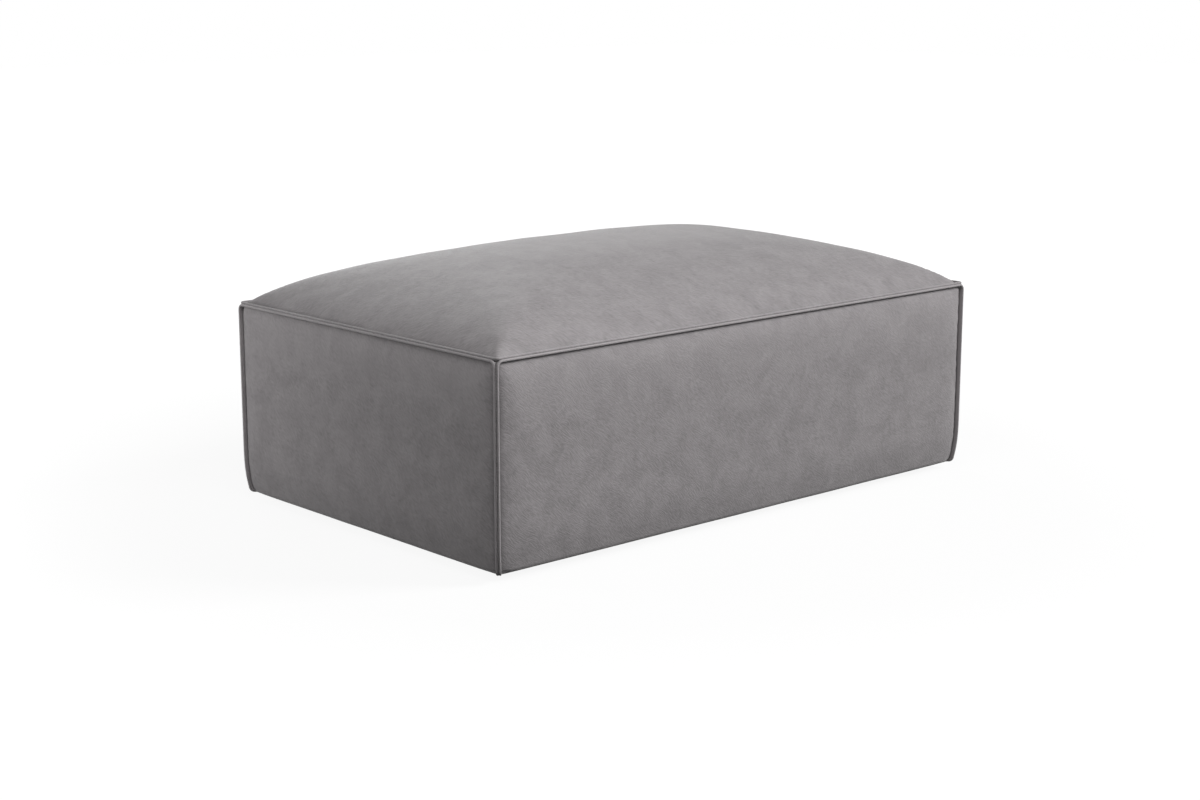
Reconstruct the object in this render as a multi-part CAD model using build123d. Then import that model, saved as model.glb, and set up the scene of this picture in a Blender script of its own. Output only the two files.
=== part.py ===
from build123d import *
import math
import os

# Outer form of the footstool, in millimetres, measured over the seam lips
overall_length = 1080.0
overall_depth = 686.0
floor_gap = 12.0
side_height = 330.0
crown_rise = 98.0
face_inset = 2.0
face_bulge = 2.0
bottom_radius = 10.0
bottom_tuck = 5.0
tuck_height = 42.0

# Crown of the top: how flat it is along and across, and how round its contours are
crown_end_power_share = 4.1
crown_side_power_share = 3.0
crown_corner_share = 0.85
crown_corner_limit_share = 0.8
crown_flat_share = 0.99
crown_height_shares = (0.1, 0.24, 0.4, 0.57, 0.73, 0.86, 0.95, 1.0)
tuck_left_share = 0.2

# Pinched seam lips: each panel's edge is rolled into a bead
lip_radius = 2.6
lip_crease = 0.3
lip_bite = 0.8
side_lip_corner_radius = 9.0
top_lip_corner_radius = 5.0
tuck_bend_radius = 50.0
hem_bend_radius = 8.0

# Layers from the outside in
cover_thickness = 2.0
turn_under_width = 40.0
layer_gap = 0.3
wadding_thickness = 8.0
side_foam_thickness = 12.0
side_board_thickness = 3.2
side_board_lift = 4.0
core_below_seam = 30.0
core_thickness = 100.0
felt_thickness = 5.0
felt_lap = 4.0
dust_cover_thickness = 0.8
dust_cover_edge = 24.0

# Timber frame
rail_thickness = 22.0
bottom_rail_height = 60.0
spring_rail_height = 70.0
corner_post_width = 40.0
mid_post_width = 40.0
mid_post_thickness = 25.0
stretcher_width = 22.0
stretcher_height = 45.0
stretcher_drop = 40.0
bearer_width = 45.0
bearer_height = 22.0
bearer_place_share = 0.5

# Zigzag springs, their clips and the stay wires under them
spring_count = 7
spring_wire_diameter = 3.8
spring_width = 50.0
spring_pitch = 24.0
spring_end_margin = 84.0
spring_seat = 10.0
spring_rest_gap = 0.1
clip_thickness = 1.0
clip_width = 16.0
clip_tail = 11.5
clip_cover = 3.5
clip_nail_place = 8.0
nail_diameter = 2.0
nail_length = 16.0
nail_head_diameter = 5.0
nail_head_thickness = 1.0
stay_wire_diameter = 2.0
stay_wire_spacing = 220.0
stay_wire_end = 12.0

# Screws and staples
screw_diameter = 4.0
screw_length = 45.0
screw_head_diameter = 8.0
screw_head_depth = 3.0
rail_screw_spread = 36.0
end_rail_screw_spread = 16.0
bearer_screw_spread = 24.0
corner_screw_offset = 8.0
staple_wire = 1.2
staple_crown = 10.0
staple_leg = 10.0
board_staple_spacing = 220.0
cover_staple_spacing = 85.0
dust_staple_spacing = 75.0
cover_staple_inset = 25.0
dust_staple_inset = 33.0
stay_staple_leg = 10.0

# Glides under the corner posts
glide_diameter = 34.0
glide_foot_diameter = 28.0
glide_clearance = 3.5
glide_rim_height = 4.0
glide_recess_diameter = 10.0
glide_recess_depth = 5.0
glide_screw_length = 30.0

# Places worked out from the sizes above
overrun = 10.0
half_length = overall_length / 2
half_depth = overall_depth / 2
seam_top = floor_gap + side_height
half_turn_share = math.cos(math.radians(45))
quarter_turn_share = math.cos(math.radians(22.5))
quarter_rise_share = math.sin(math.radians(22.5))
lip_reach = lip_radius + (lip_radius + lip_crease / 2) / half_turn_share
lip_root = (lip_radius + lip_reach) * half_turn_share + lip_radius - lip_bite
seam_depth = lip_root * half_turn_share
shoulder_radius = (seam_depth - face_inset) / (1 - half_turn_share)
shoulder_z = seam_top - seam_depth - shoulder_radius * half_turn_share

core_inset = face_inset + cover_thickness + layer_gap + side_foam_thickness
core_half_length = half_length - core_inset
core_half_depth = half_depth - core_inset
frame_half_length = core_half_length - side_board_thickness
frame_half_depth = core_half_depth - side_board_thickness
inner_half_length = frame_half_length - rail_thickness
inner_half_depth = frame_half_depth - rail_thickness
frame_bottom = floor_gap + cover_thickness
core_top = seam_top - core_below_seam
core_bottom = core_top - core_thickness
felt_bottom = core_bottom - felt_thickness
spring_z = felt_bottom - spring_rest_gap - spring_wire_diameter / 2
clip_inside = spring_wire_diameter / 2 + spring_rest_gap / 2
rail_top = spring_z - clip_inside - clip_thickness
end_rail_top = spring_z - spring_wire_diameter / 2 - stay_wire_diameter
corner_post_x = inner_half_length - corner_post_width / 2
corner_post_y = inner_half_depth - corner_post_width / 2
bearer_x = inner_half_length * bearer_place_share
bottom_rail_z = frame_bottom + bottom_rail_height / 2
spring_rail_z = rail_top - spring_rail_height / 2
glide_inset = turn_under_width + dust_cover_thickness + glide_clearance + glide_diameter / 2
glide_top = frame_bottom - dust_cover_thickness
rim_z = floor_gap - dust_cover_thickness

# Turn about Z that takes a side facing -Y to each side
side_turns = {"front": 0, "back": 180, "left": 270, "right": 90}


def ring(half_x, half_y, corner_radius, z, bulge):
    """Closed outline of one level: four sides, bowed out by the bulge, and four round corners."""
    edges = []
    for turn in range(4):
        if turn % 2 == 0:
            along, out = half_x - corner_radius, half_y
        else:
            along, out = half_y - corner_radius, half_x
        start = Vector(-along, -out, 0)
        end = Vector(along, -out, 0)
        centre = Vector(along, corner_radius - out, 0)
        corner_middle = centre + Vector(1, -1, 0) * (corner_radius * half_turn_share)
        corner_end = centre + Vector(corner_radius, 0, 0)
        if bulge > 0:
            side = Edge.make_three_point_arc(start, Vector(0, -out - bulge, 0), end)
        else:
            side = Edge.make_line(start, end)
        corner = Edge.make_three_point_arc(end, corner_middle, corner_end)
        for edge in (side, corner):
            edges.append(edge.rotate(Axis.Z, 90 * turn).translate(Vector(0, 0, z)))
    return Face(Wire(edges))


def wall_levels():
    """Levels of the outer form up to the seam: extra inset, height, rounding taken off the corner, bulge."""
    soft_edge = bottom_radius * (1 - half_turn_share)
    tucked = face_inset + bottom_tuck
    middle_z = (floor_gap + tuck_height + shoulder_z) / 2
    turn = shoulder_radius * (1 - quarter_turn_share)
    return [
        (tucked + bottom_radius, floor_gap, bottom_radius, 0),
        (tucked + soft_edge, floor_gap + soft_edge, soft_edge, 0),
        (tucked, floor_gap + bottom_radius, 0, 0),
        (face_inset + bottom_tuck * tuck_left_share, floor_gap + tuck_height, 0, face_bulge / 2),
        (face_inset, middle_z, 0, face_bulge),
        (face_inset, shoulder_z, 0, face_bulge / 2),
        (face_inset + turn, shoulder_z + shoulder_radius * quarter_rise_share, turn, 0),
    ]


def crown_levels():
    """Levels of the crown from the seam up: end inset, side inset, height, corner radius."""
    seam_radius = shoulder_radius - seam_depth + face_inset
    levels = [(seam_depth, seam_depth, seam_top - seam_depth, seam_radius)]
    for height_share in crown_height_shares:
        left = 1 - crown_flat_share * height_share
        end_inset = seam_depth + (half_length - seam_depth) * (1 - left ** (1 / crown_end_power_share))
        side_inset = seam_depth + (half_depth - seam_depth) * (1 - left ** (1 / crown_side_power_share))
        wide_radius = seam_radius + (side_inset - seam_depth) * crown_corner_share
        corner_radius = min(wide_radius, (half_depth - side_inset) * crown_corner_limit_share)
        z = seam_top - seam_depth + (crown_rise + seam_depth) * height_share
        levels.append((end_inset, side_inset, z, corner_radius))
    return levels


def body_form(depth):
    """The footstool's whole form, taken in by a depth on every side."""
    sections = []
    for inset, z, rounding, bulge in wall_levels():
        lift = depth if z < core_bottom else -depth
        half_x = half_length - inset - depth
        half_y = half_depth - inset - depth
        corner_radius = max(shoulder_radius - rounding - depth, layer_gap)
        sections.append(ring(half_x, half_y, corner_radius, z + lift, bulge))
    for end_inset, side_inset, z, corner_radius in crown_levels():
        half_x = half_length - end_inset - depth
        half_y = half_depth - side_inset - depth
        sections.append(ring(half_x, half_y, max(corner_radius - depth, layer_gap), z - depth, 0))
    return loft(sections, ruled=True)


def block(low, high):
    """A box between two corners."""
    size = [b - a for a, b in zip(low, high)]
    middle = [(a + b) / 2 for a, b in zip(low, high)]
    return Pos(*middle) * Box(*size)


def side_region(half_along, half_out):
    """Wedge between the mitre planes of a side that faces -Y."""
    reach = turn_under_width
    points = [
        (-half_along - overrun, -half_out - overrun),
        (half_along + overrun, -half_out - overrun),
        (half_along - reach, -half_out + reach),
        (-half_along + reach, -half_out + reach),
    ]
    return extrude(make_face(Polyline(*points, close=True)), seam_top + overrun)


def top_region():
    """Space above the mitre planes of the four top seams."""
    low = turn_under_width
    high = crown_rise + overrun
    bottom = Pos(0, 0, seam_top - low) * Rectangle(overall_length - 2 * low, overall_depth - 2 * low)
    top = Pos(0, 0, seam_top + high) * Rectangle(overall_length + 2 * high, overall_depth + 2 * high)
    return loft([bottom.face(), top.face()], ruled=True)


def tube(points, radii, radius):
    """Round bar along straight runs joined by tangent arcs."""
    path = FilletPolyline(*points, radius=radii)
    section = Plane(origin=path @ 0, z_dir=path % 0) * Circle(radius)
    return sweep(section, path=path)


def side_lip(half_along, half_out):
    """Rolled bead up one end, along the top and down the other end of a side that faces -Y."""
    soft_edge = bottom_radius * (1 - half_turn_share)
    along = half_along - lip_reach
    out = half_out - lip_radius
    hem = bottom_tuck + soft_edge
    left = [
        Vector(-along + hem, -out + hem, floor_gap + soft_edge),
        Vector(-along + bottom_tuck, -out + bottom_tuck, floor_gap + bottom_radius),
        Vector(-along, -out, floor_gap + tuck_height),
        Vector(-along, -out, seam_top - lip_reach),
    ]
    right = [Vector(-p.X, p.Y, p.Z) for p in reversed(left)]
    ends = [hem_bend_radius, tuck_bend_radius, side_lip_corner_radius]
    return tube(left + right, ends + ends[::-1], lip_radius)


def top_lip():
    """Rolled bead round the top panel, in two halves."""
    along = half_length - lip_reach
    across = half_depth - lip_reach
    z = seam_top - lip_radius
    points = [
        Vector(0, -across, z),
        Vector(along, -across, z),
        Vector(along, across, z),
        Vector(0, across, z),
    ]
    half = tube(points, [top_lip_corner_radius] * 2, lip_radius)
    return half + half.rotate(Axis.Z, 180)


def cover_panels(outer, inner, staples):
    """The five cut panels of the fitted cover, each with its rolled lips."""
    above = top_region()
    front = (outer & side_region(half_length, half_depth)) - above
    left = (outer & side_region(half_depth, half_length).rotate(Axis.Z, -90)) - above
    front = cut(front - inner, staples) + side_lip(half_length, half_depth)
    left = cut(left - inner, staples) + side_lip(half_depth, half_length).rotate(Axis.Z, -90)
    top = (outer & above) - inner + top_lip()
    front, left, top = front - inner, left - inner, top - inner
    return {
        "cover_front": front,
        "cover_back": front.rotate(Axis.Z, 180),
        "cover_left": left,
        "cover_right": left.rotate(Axis.Z, 180),
        "cover_top": top,
    }


def soft_fill():
    """Wadding, crown foam, core and side pads under the cover."""
    wrap = body_form(cover_thickness + layer_gap)
    under_wadding = body_form(cover_thickness + 2 * layer_gap + wadding_thickness)
    above_core = block(
        (-half_length, -half_depth, core_top),
        (half_length, half_depth, seam_top + crown_rise + overrun),
    )
    core_prism = block(
        (-core_half_length, -core_half_depth, 0),
        (core_half_length, core_half_depth, seam_top + crown_rise + overrun),
    )
    wadding_inside = body_form(cover_thickness + layer_gap + wadding_thickness)
    pads = wrap - core_prism - above_core
    front = pads & side_region(half_length, half_depth)
    left = pads & side_region(half_depth, half_length).rotate(Axis.Z, -90)
    return {
        "crown_wadding": (wrap & above_core) - wadding_inside,
        "crown_foam": under_wadding & above_core,
        "seat_foam_core": block(
            (-core_half_length, -core_half_depth, core_bottom),
            (core_half_length, core_half_depth, core_top),
        ),
        "side_foam_front": front,
        "side_foam_back": front.rotate(Axis.Z, 180),
        "side_foam_left": left,
        "side_foam_right": left.rotate(Axis.Z, 180),
    }


def side_boards():
    """Thin boards that close the four sides of the frame."""
    front = block(
        (-core_half_length, -core_half_depth, frame_bottom + side_board_lift),
        (core_half_length, -frame_half_depth, end_rail_top),
    )
    left = block(
        (-core_half_length, -frame_half_depth, frame_bottom + side_board_lift),
        (-frame_half_length, frame_half_depth, end_rail_top),
    )
    return {
        "side_board_front": front,
        "side_board_back": front.mirror(Plane.XZ),
        "side_board_left": left,
        "side_board_right": left.mirror(Plane.YZ),
    }


def frame_members():
    """Rails, posts, bearers and stretcher of the timber frame."""
    bottom_front = block(
        (-frame_half_length, -frame_half_depth, frame_bottom),
        (frame_half_length, -inner_half_depth, frame_bottom + bottom_rail_height),
    )
    bottom_left = block(
        (-frame_half_length, -inner_half_depth, frame_bottom),
        (-inner_half_length, inner_half_depth, frame_bottom + bottom_rail_height),
    )
    spring_front = block(
        (-frame_half_length, -frame_half_depth, rail_top - spring_rail_height),
        (frame_half_length, -inner_half_depth, rail_top),
    )
    end_left = block(
        (-frame_half_length, -inner_half_depth, rail_top - spring_rail_height),
        (-inner_half_length, inner_half_depth, end_rail_top),
    )
    post = block(
        (-inner_half_length, -inner_half_depth, frame_bottom),
        (-inner_half_length + corner_post_width, -inner_half_depth + corner_post_width, end_rail_top),
    )
    mid_post = block(
        (-mid_post_width / 2, -inner_half_depth, frame_bottom),
        (mid_post_width / 2, -inner_half_depth + mid_post_thickness, end_rail_top),
    )
    stretcher_top = end_rail_top - stretcher_drop
    stretcher = block(
        (-stretcher_width / 2, -inner_half_depth + mid_post_thickness, stretcher_top - stretcher_height),
        (stretcher_width / 2, inner_half_depth - mid_post_thickness, stretcher_top),
    )
    bearer = block(
        (-bearer_x - bearer_width / 2, -inner_half_depth, frame_bottom),
        (-bearer_x + bearer_width / 2, inner_half_depth, frame_bottom + bearer_height),
    )
    return {
        "bottom_rail_front": bottom_front,
        "bottom_rail_back": bottom_front.mirror(Plane.XZ),
        "bottom_rail_left": bottom_left,
        "bottom_rail_right": bottom_left.mirror(Plane.YZ),
        "spring_rail_front": spring_front,
        "spring_rail_back": spring_front.mirror(Plane.XZ),
        "end_rail_left": end_left,
        "end_rail_right": end_left.mirror(Plane.YZ),
        "corner_post_front_left": post,
        "corner_post_front_right": post.mirror(Plane.YZ),
        "corner_post_back_left": post.mirror(Plane.XZ),
        "corner_post_back_right": post.mirror(Plane.XZ).mirror(Plane.YZ),
        "mid_post_front": mid_post,
        "mid_post_back": mid_post.mirror(Plane.XZ),
        "centre_stretcher": stretcher,
        "bottom_bearer_left": bearer,
        "bottom_bearer_right": bearer.mirror(Plane.YZ),
    }


def spring_places():
    """X positions of the springs, evenly spaced between the end rails."""
    first = inner_half_length - spring_end_margin
    return [-first + 2 * first * i / (spring_count - 1) for i in range(spring_count)]


def spring_end_y():
    """Distance of a spring's end bar from the middle."""
    return inner_half_depth + spring_seat


def zigzag_spring():
    """One flat zigzag spring: straight bars joined by half turns, laid from front to back."""
    span = 2 * spring_end_y()
    bays = round(span / spring_pitch)
    pitch = span / bays
    half_bar = spring_width / 2 - pitch / 2
    edges = []
    for i in range(bays + 1):
        y = -span / 2 + i * pitch
        side = 1 if i % 2 == 0 else -1
        edges.append(Edge.make_line((-side * half_bar, y), (side * half_bar, y)))
        if i < bays:
            start = (side * half_bar, y)
            middle = (side * (half_bar + pitch / 2), y + pitch / 2)
            edges.append(Edge.make_three_point_arc(start, middle, (side * half_bar, y + pitch)))
    path = Wire(edges).translate(Vector(0, 0, spring_z))
    section = Plane(origin=path @ 0, z_dir=path % 0) * Circle(spring_wire_diameter / 2)
    return sweep(section, path=path)


def spring_clip():
    """Folded steel clip round a front end bar: it opens outwards and its tail is nailed down."""
    inside = clip_inside
    outside = inside + clip_thickness
    profile = Circle(outside) - Circle(inside)
    profile = profile & Pos(outside / 2, 0) * Rectangle(outside, 2 * outside)
    base = Pos(-clip_tail / 2, -(inside + outside) / 2) * Rectangle(clip_tail, clip_thickness)
    hood = Pos(-clip_cover / 2, (inside + outside) / 2) * Rectangle(clip_cover, clip_thickness)
    return extrude(Plane.YZ * (profile + base + hood), clip_width / 2, both=True)


def clip_nail():
    """Flat-headed nail with its head's underside at zero, pointing down."""
    shank = Pos(0, 0, -nail_length / 2) * Cylinder(nail_diameter / 2, nail_length)
    head = Pos(0, 0, nail_head_thickness / 2) * Cylinder(nail_head_diameter / 2, nail_head_thickness)
    return shank + head


def wood_screw(length):
    """Countersunk screw with its head's face at zero, pointing down."""
    outline = Polyline(
        (0, 0),
        (screw_head_diameter / 2, 0),
        (screw_diameter / 2, -screw_head_depth),
        (screw_diameter / 2, -length + screw_diameter),
        (0, -length),
        close=True,
    )
    return revolve(make_face(Plane.XZ * outline), Axis.Z)


def staple(leg):
    """Wire staple with its crown along X, its outer face at zero and its legs pointing down."""
    crown = block((-staple_crown / 2, -staple_wire / 2, -staple_wire), (staple_crown / 2, staple_wire / 2, 0))
    legs = [
        block((x - staple_wire / 2, -staple_wire / 2, -leg), (x + staple_wire / 2, staple_wire / 2, 0))
        for x in (-(staple_crown - staple_wire) / 2, (staple_crown - staple_wire) / 2)
    ]
    return crown + legs[0] + legs[1]


def spaced(half_span, spacing):
    """Even places over a span, with half a step left at each end."""
    count = max(2, round(2 * half_span / spacing))
    step = 2 * half_span / count
    return [-half_span + step * (i + 1 / 2) for i in range(count)]


def on_side(turn, along, out, z, piece):
    """A fastener that points down, turned to be driven in from one side."""
    return Rot(0, 0, turn) * Pos(along, -out, z) * Rot(90, 0, 0) * piece


def from_below(turn, along, out, z, piece):
    """A fastener that points down, turned to be driven up near one side."""
    return Rot(0, 0, turn) * Pos(along, -out, z) * Rot(180, 0, 0) * piece


def side_size(side):
    """Half length along a side of the whole and its distance out from the middle."""
    if side in ("front", "back"):
        return half_length, half_depth
    return half_depth, half_length


def frame_screws():
    """Countersunk screws through the rails into posts and bearers."""
    screw = wood_screw(screw_length)
    screws = []
    for side in ("front", "back"):
        for z in (bottom_rail_z, spring_rail_z):
            for along in (-corner_post_x - corner_screw_offset, 0, corner_post_x + corner_screw_offset):
                for step in (-rail_screw_spread / 2, rail_screw_spread / 2):
                    screws.append(on_side(side_turns[side], along, frame_half_depth, z + step, screw))
        for bearer in (-bearer_x, bearer_x):
            for step in (-bearer_screw_spread / 2, bearer_screw_spread / 2):
                z = frame_bottom + bearer_height / 2
                screws.append(on_side(side_turns[side], bearer + step, frame_half_depth, z, screw))
    for side in ("left", "right"):
        for z in (bottom_rail_z, spring_rail_z):
            for along in (-corner_post_y - corner_screw_offset, corner_post_y + corner_screw_offset):
                for step in (-end_rail_screw_spread / 2, end_rail_screw_spread / 2):
                    screws.append(on_side(side_turns[side], along, frame_half_length, z + step, screw))
    return screws


def board_staples():
    """Staples that hold the side boards to the rails, driven flush."""
    piece = staple(staple_leg)
    staples = []
    for side, turn in side_turns.items():
        if side in ("front", "back"):
            half_along, out = inner_half_length, core_half_depth
        else:
            half_along, out = inner_half_depth, core_half_length
        for z in (bottom_rail_z, spring_rail_z):
            for along in spaced(half_along, board_staple_spacing):
                staples.append(on_side(turn, along, out, z, piece))
    return staples


def hem_staples(spacing, inset, z):
    """One row of staples round the underside, driven up into the bottom rails."""
    piece = staple(staple_leg)
    staples = []
    for side, turn in side_turns.items():
        half_along, out = side_size(side)
        for along in spaced(half_along - turn_under_width, spacing):
            staples.append(from_below(turn, along, out - inset, z, piece))
    return staples


def dust_cover():
    """Thin cloth under the base: its rim lies under the turned-in cover, its middle against the frame."""
    step = turn_under_width + dust_cover_thickness
    rim = block(
        (-half_length + dust_cover_edge, -half_depth + dust_cover_edge, rim_z),
        (half_length - dust_cover_edge, half_depth - dust_cover_edge, floor_gap),
    )
    middle = block(
        (-half_length + turn_under_width, -half_depth + turn_under_width, rim_z),
        (half_length - turn_under_width, half_depth - turn_under_width, frame_bottom),
    )
    hollow = block(
        (-half_length + step, -half_depth + step, 0),
        (half_length - step, half_depth - step, glide_top),
    )
    return rim + middle - hollow


def glide():
    """Round plastic glide with a bevelled foot and a recess for its screw."""
    outline = Polyline(
        (0, 0),
        (glide_foot_diameter / 2, 0),
        (glide_diameter / 2, glide_rim_height),
        (glide_diameter / 2, glide_top),
        (0, glide_top),
        close=True,
    )
    body = revolve(make_face(Plane.XZ * outline), Axis.Z)
    recess = Pos(0, 0, glide_recess_depth / 2) * Cylinder(glide_recess_diameter / 2, glide_recess_depth)
    return body - recess


def glide_places():
    """Name and place of each glide."""
    x = half_length - glide_inset
    y = half_depth - glide_inset
    return {"front_left": (-x, -y), "front_right": (x, -y), "back_left": (-x, y), "back_right": (x, y)}


def spring_set():
    """Springs, clips, nails, stay wires and their staples."""
    spring = zigzag_spring()
    clip = Pos(0, -spring_end_y(), spring_z) * spring_clip()
    nail = Pos(0, -spring_end_y() - clip_nail_place, rail_top + clip_thickness) * clip_nail()
    nodes = {}
    clips, nails = [], []
    for i, x in enumerate(spring_places()):
        nodes[f"zigzag_spring_{i + 1}"] = Pos(x, 0, 0) * spring
        for end in (clip, clip.mirror(Plane.XZ)):
            clips.append(Pos(x, 0, 0) * end)
        for end in (nail, nail.mirror(Plane.XZ)):
            nails.append(Pos(x, 0, 0) * end)
    nodes["spring_clips"] = cut(Compound(children=clips), nails)
    nodes["clip_nails"] = Compound(children=nails)

    wire_z = spring_z - spring_wire_diameter / 2 - stay_wire_diameter / 2
    wire_length = 2 * (inner_half_length + stay_wire_end)
    wire = Pos(0, 0, wire_z) * Rot(0, 90, 0) * Cylinder(stay_wire_diameter / 2, wire_length)
    over_wire = Rot(0, 0, 90) * staple(stay_staple_leg)
    staple_z = wire_z + stay_wire_diameter / 2 + staple_wire
    staples = []
    for name, y in (("front", -stay_wire_spacing / 2), ("back", stay_wire_spacing / 2)):
        nodes[f"stay_wire_{name}"] = Pos(0, y, 0) * wire
        for x in (-inner_half_length - stay_wire_end / 2, inner_half_length + stay_wire_end / 2):
            staples.append(Pos(x, y, staple_z) * over_wire)
    nodes["stay_wire_staples"] = Compound(children=staples)
    nodes["spring_felt"] = block(
        (-inner_half_length - felt_lap, -inner_half_depth - felt_lap, felt_bottom),
        (inner_half_length + felt_lap, inner_half_depth + felt_lap, core_bottom),
    )
    return nodes


def boxes_meet(a, b):
    """Whether two bounding boxes overlap."""
    return all(
        getattr(a.min, axis) < getattr(b.max, axis) and getattr(b.min, axis) < getattr(a.max, axis)
        for axis in "XYZ"
    )


def cut(piece, tools):
    """The piece with the holes of the fasteners that pass through it."""
    box = piece.bounding_box()
    near = [tool for tool in tools if boxes_meet(box, tool.bounding_box())]
    return piece - near if near else piece


def build_nodes():
    """Every node of the footstool by name."""
    outer = body_form(0)
    inner = body_form(cover_thickness)
    boards = board_staples()
    hems = hem_staples(cover_staple_spacing, cover_staple_inset, floor_gap)
    rims = hem_staples(dust_staple_spacing, dust_staple_inset, rim_z - staple_wire)
    nodes = cover_panels(outer, inner, hems + rims)
    nodes.update(soft_fill())
    nodes.update(side_boards())
    nodes.update(frame_members())
    nodes.update(spring_set())
    nodes["dust_cover"] = dust_cover()

    screws = frame_screws()
    glide_screws = []
    for name, (x, y) in glide_places().items():
        place = Pos(x, y, glide_recess_depth) * Rot(180, 0, 0)
        glide_screws.append(place * wood_screw(glide_screw_length))
        nodes[f"glide_{name}"] = Pos(x, y, 0) * glide()

    into_timber = screws + boards + hems + rims + glide_screws
    into_timber += nodes["clip_nails"].solids() + nodes["stay_wire_staples"].solids()
    for name in list(nodes):
        if "rail" in name or "post" in name or "bearer" in name:
            nodes[name] = cut(nodes[name], into_timber)
        elif name.startswith("side_board"):
            nodes[name] = cut(nodes[name], boards)
        elif name == "dust_cover":
            nodes[name] = cut(nodes[name], rims + glide_screws)
        elif name.startswith("glide_"):
            nodes[name] = cut(nodes[name], glide_screws)
    nodes["frame_screws"] = Compound(children=screws)
    nodes["side_board_staples"] = Compound(children=boards)
    nodes["cover_staples"] = Compound(children=hems)
    nodes["dust_cover_staples"] = Compound(children=rims)
    nodes["glide_screws"] = Compound(children=glide_screws)
    return nodes


os.makedirs("parts", exist_ok=True)
for node, shape in build_nodes().items():
    export_step(shape, f"parts/{node}.step")
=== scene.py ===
import logging
import math
from dataclasses import dataclass, field
from enum import Enum
from typing import Callable, Iterable, Sequence

import bmesh
import bpy
import numpy as np
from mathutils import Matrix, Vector
from mathutils.kdtree import KDTree


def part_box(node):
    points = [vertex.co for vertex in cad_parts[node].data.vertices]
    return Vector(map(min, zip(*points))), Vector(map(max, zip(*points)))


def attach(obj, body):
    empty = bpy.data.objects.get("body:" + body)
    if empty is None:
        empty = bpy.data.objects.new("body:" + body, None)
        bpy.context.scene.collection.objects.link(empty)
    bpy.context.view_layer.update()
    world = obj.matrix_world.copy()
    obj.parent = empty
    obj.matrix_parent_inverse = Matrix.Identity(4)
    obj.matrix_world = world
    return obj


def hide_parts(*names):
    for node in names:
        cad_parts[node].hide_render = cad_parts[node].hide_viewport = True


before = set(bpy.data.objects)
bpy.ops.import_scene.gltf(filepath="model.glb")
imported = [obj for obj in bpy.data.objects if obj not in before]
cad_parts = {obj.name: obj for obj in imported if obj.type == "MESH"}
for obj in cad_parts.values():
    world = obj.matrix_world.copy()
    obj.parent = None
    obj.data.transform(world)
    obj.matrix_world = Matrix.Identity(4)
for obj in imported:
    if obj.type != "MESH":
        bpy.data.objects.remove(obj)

log = logging.getLogger("footstool")

Grid = np.ndarray
Place = tuple[float, float]
Point = tuple[float, float, float]
Colour = tuple[float, float, float]
Thing = bpy.types.Object
Material = bpy.types.Material
Socket = bpy.types.NodeSocket
TINY = 1e-6


class Side(Enum):
    """The four sides of the footstool, with the quarter turns from a side that faces -Y."""

    FRONT = 0
    RIGHT = 1
    BACK = 2
    LEFT = 3

    @property
    def word(self) -> str:
        """The side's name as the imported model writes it."""
        return self.name.lower()

    @property
    def wide(self) -> bool:
        """Whether the side runs along the footstool's length."""
        return self in (Side.FRONT, Side.BACK)

    @property
    def halves(self) -> Place:
        """Half of the side's own length, and its distance from the middle."""
        sizes = FORM.half_length, FORM.half_depth
        return sizes if self.wide else sizes[::-1]


def smooth(share: Grid) -> Grid:
    """A share from 0 to 1 with a soft start and end."""
    return share * share * (3 - 2 * share)


def ramp(value: Grid, start: float, over: float) -> Grid:
    """Share from 0 at a start to 1 a distance further on, or further down where that is negative."""
    return np.clip((value - start) / over, 0, 1)


@dataclass(frozen=True)
class Form:
    """Outer form of the footstool in metres.

    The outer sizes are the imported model's. The crown's curve and the tuck follow the photo.
    """

    half_length: float = 0.540
    half_depth: float = 0.343
    floor_gap: float = 0.012
    seam_top: float = 0.342
    crown_rise: float = 0.098
    face_inset: float = 0.002
    face_bulge: float = 0.002
    bottom_radius: float = 0.010
    bottom_tuck: float = 0.0045
    tuck_top: float = 0.100
    turn_under: float = 0.040
    end_power: float = 3.07
    side_power: float = 2.18
    ridge_power: float = 7.8
    seam_rise: float = 0.012
    seam_run: float = 0.022
    core_top: float = 0.312

    @property
    def bend(self) -> float:
        """Height at which a side starts to turn under the base."""
        return self.floor_gap + self.bottom_radius

    def tuck(self, z: Grid) -> Grid:
        """How far the wall draws in at a height, towards the bottom edge."""
        return self.bottom_tuck * ramp(z, self.tuck_top, self.bend - self.tuck_top) ** 3

    def crown_share(self, x: Grid, y: Grid, inset: float) -> Grid:
        """Share of the crown's rise over a place of the top, with soft ridges up from the corners.

        Args:
            x: Places along the footstool.
            y: Places across the footstool.
            inset: Distance from the box side at which the rise starts.

        Returns:
            Shares from 0 at the rim to 1 in the middle.
        """
        half_x, half_y = self.half_length - inset, self.half_depth - inset
        along, across = np.clip(np.abs(x) / half_x, 0, 1), np.clip(np.abs(y) / half_y, 0, 1)
        end = np.maximum(1 - along**self.end_power, TINY)
        side = np.maximum(1 - across**self.side_power, TINY)
        broad = (end**-self.ridge_power + side**-self.ridge_power - 1) ** (-1 / self.ridge_power)
        from_end = np.maximum((1 - along) * half_x, TINY)
        from_side = np.maximum((1 - across) * half_y, TINY)
        nearest = (from_end**-4 + from_side**-4) ** -0.25
        quick = self.seam_rise / self.crown_rise
        return (1 - quick) * broad + quick * (1 - np.exp(-nearest / self.seam_run))


FORM = Form()


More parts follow.
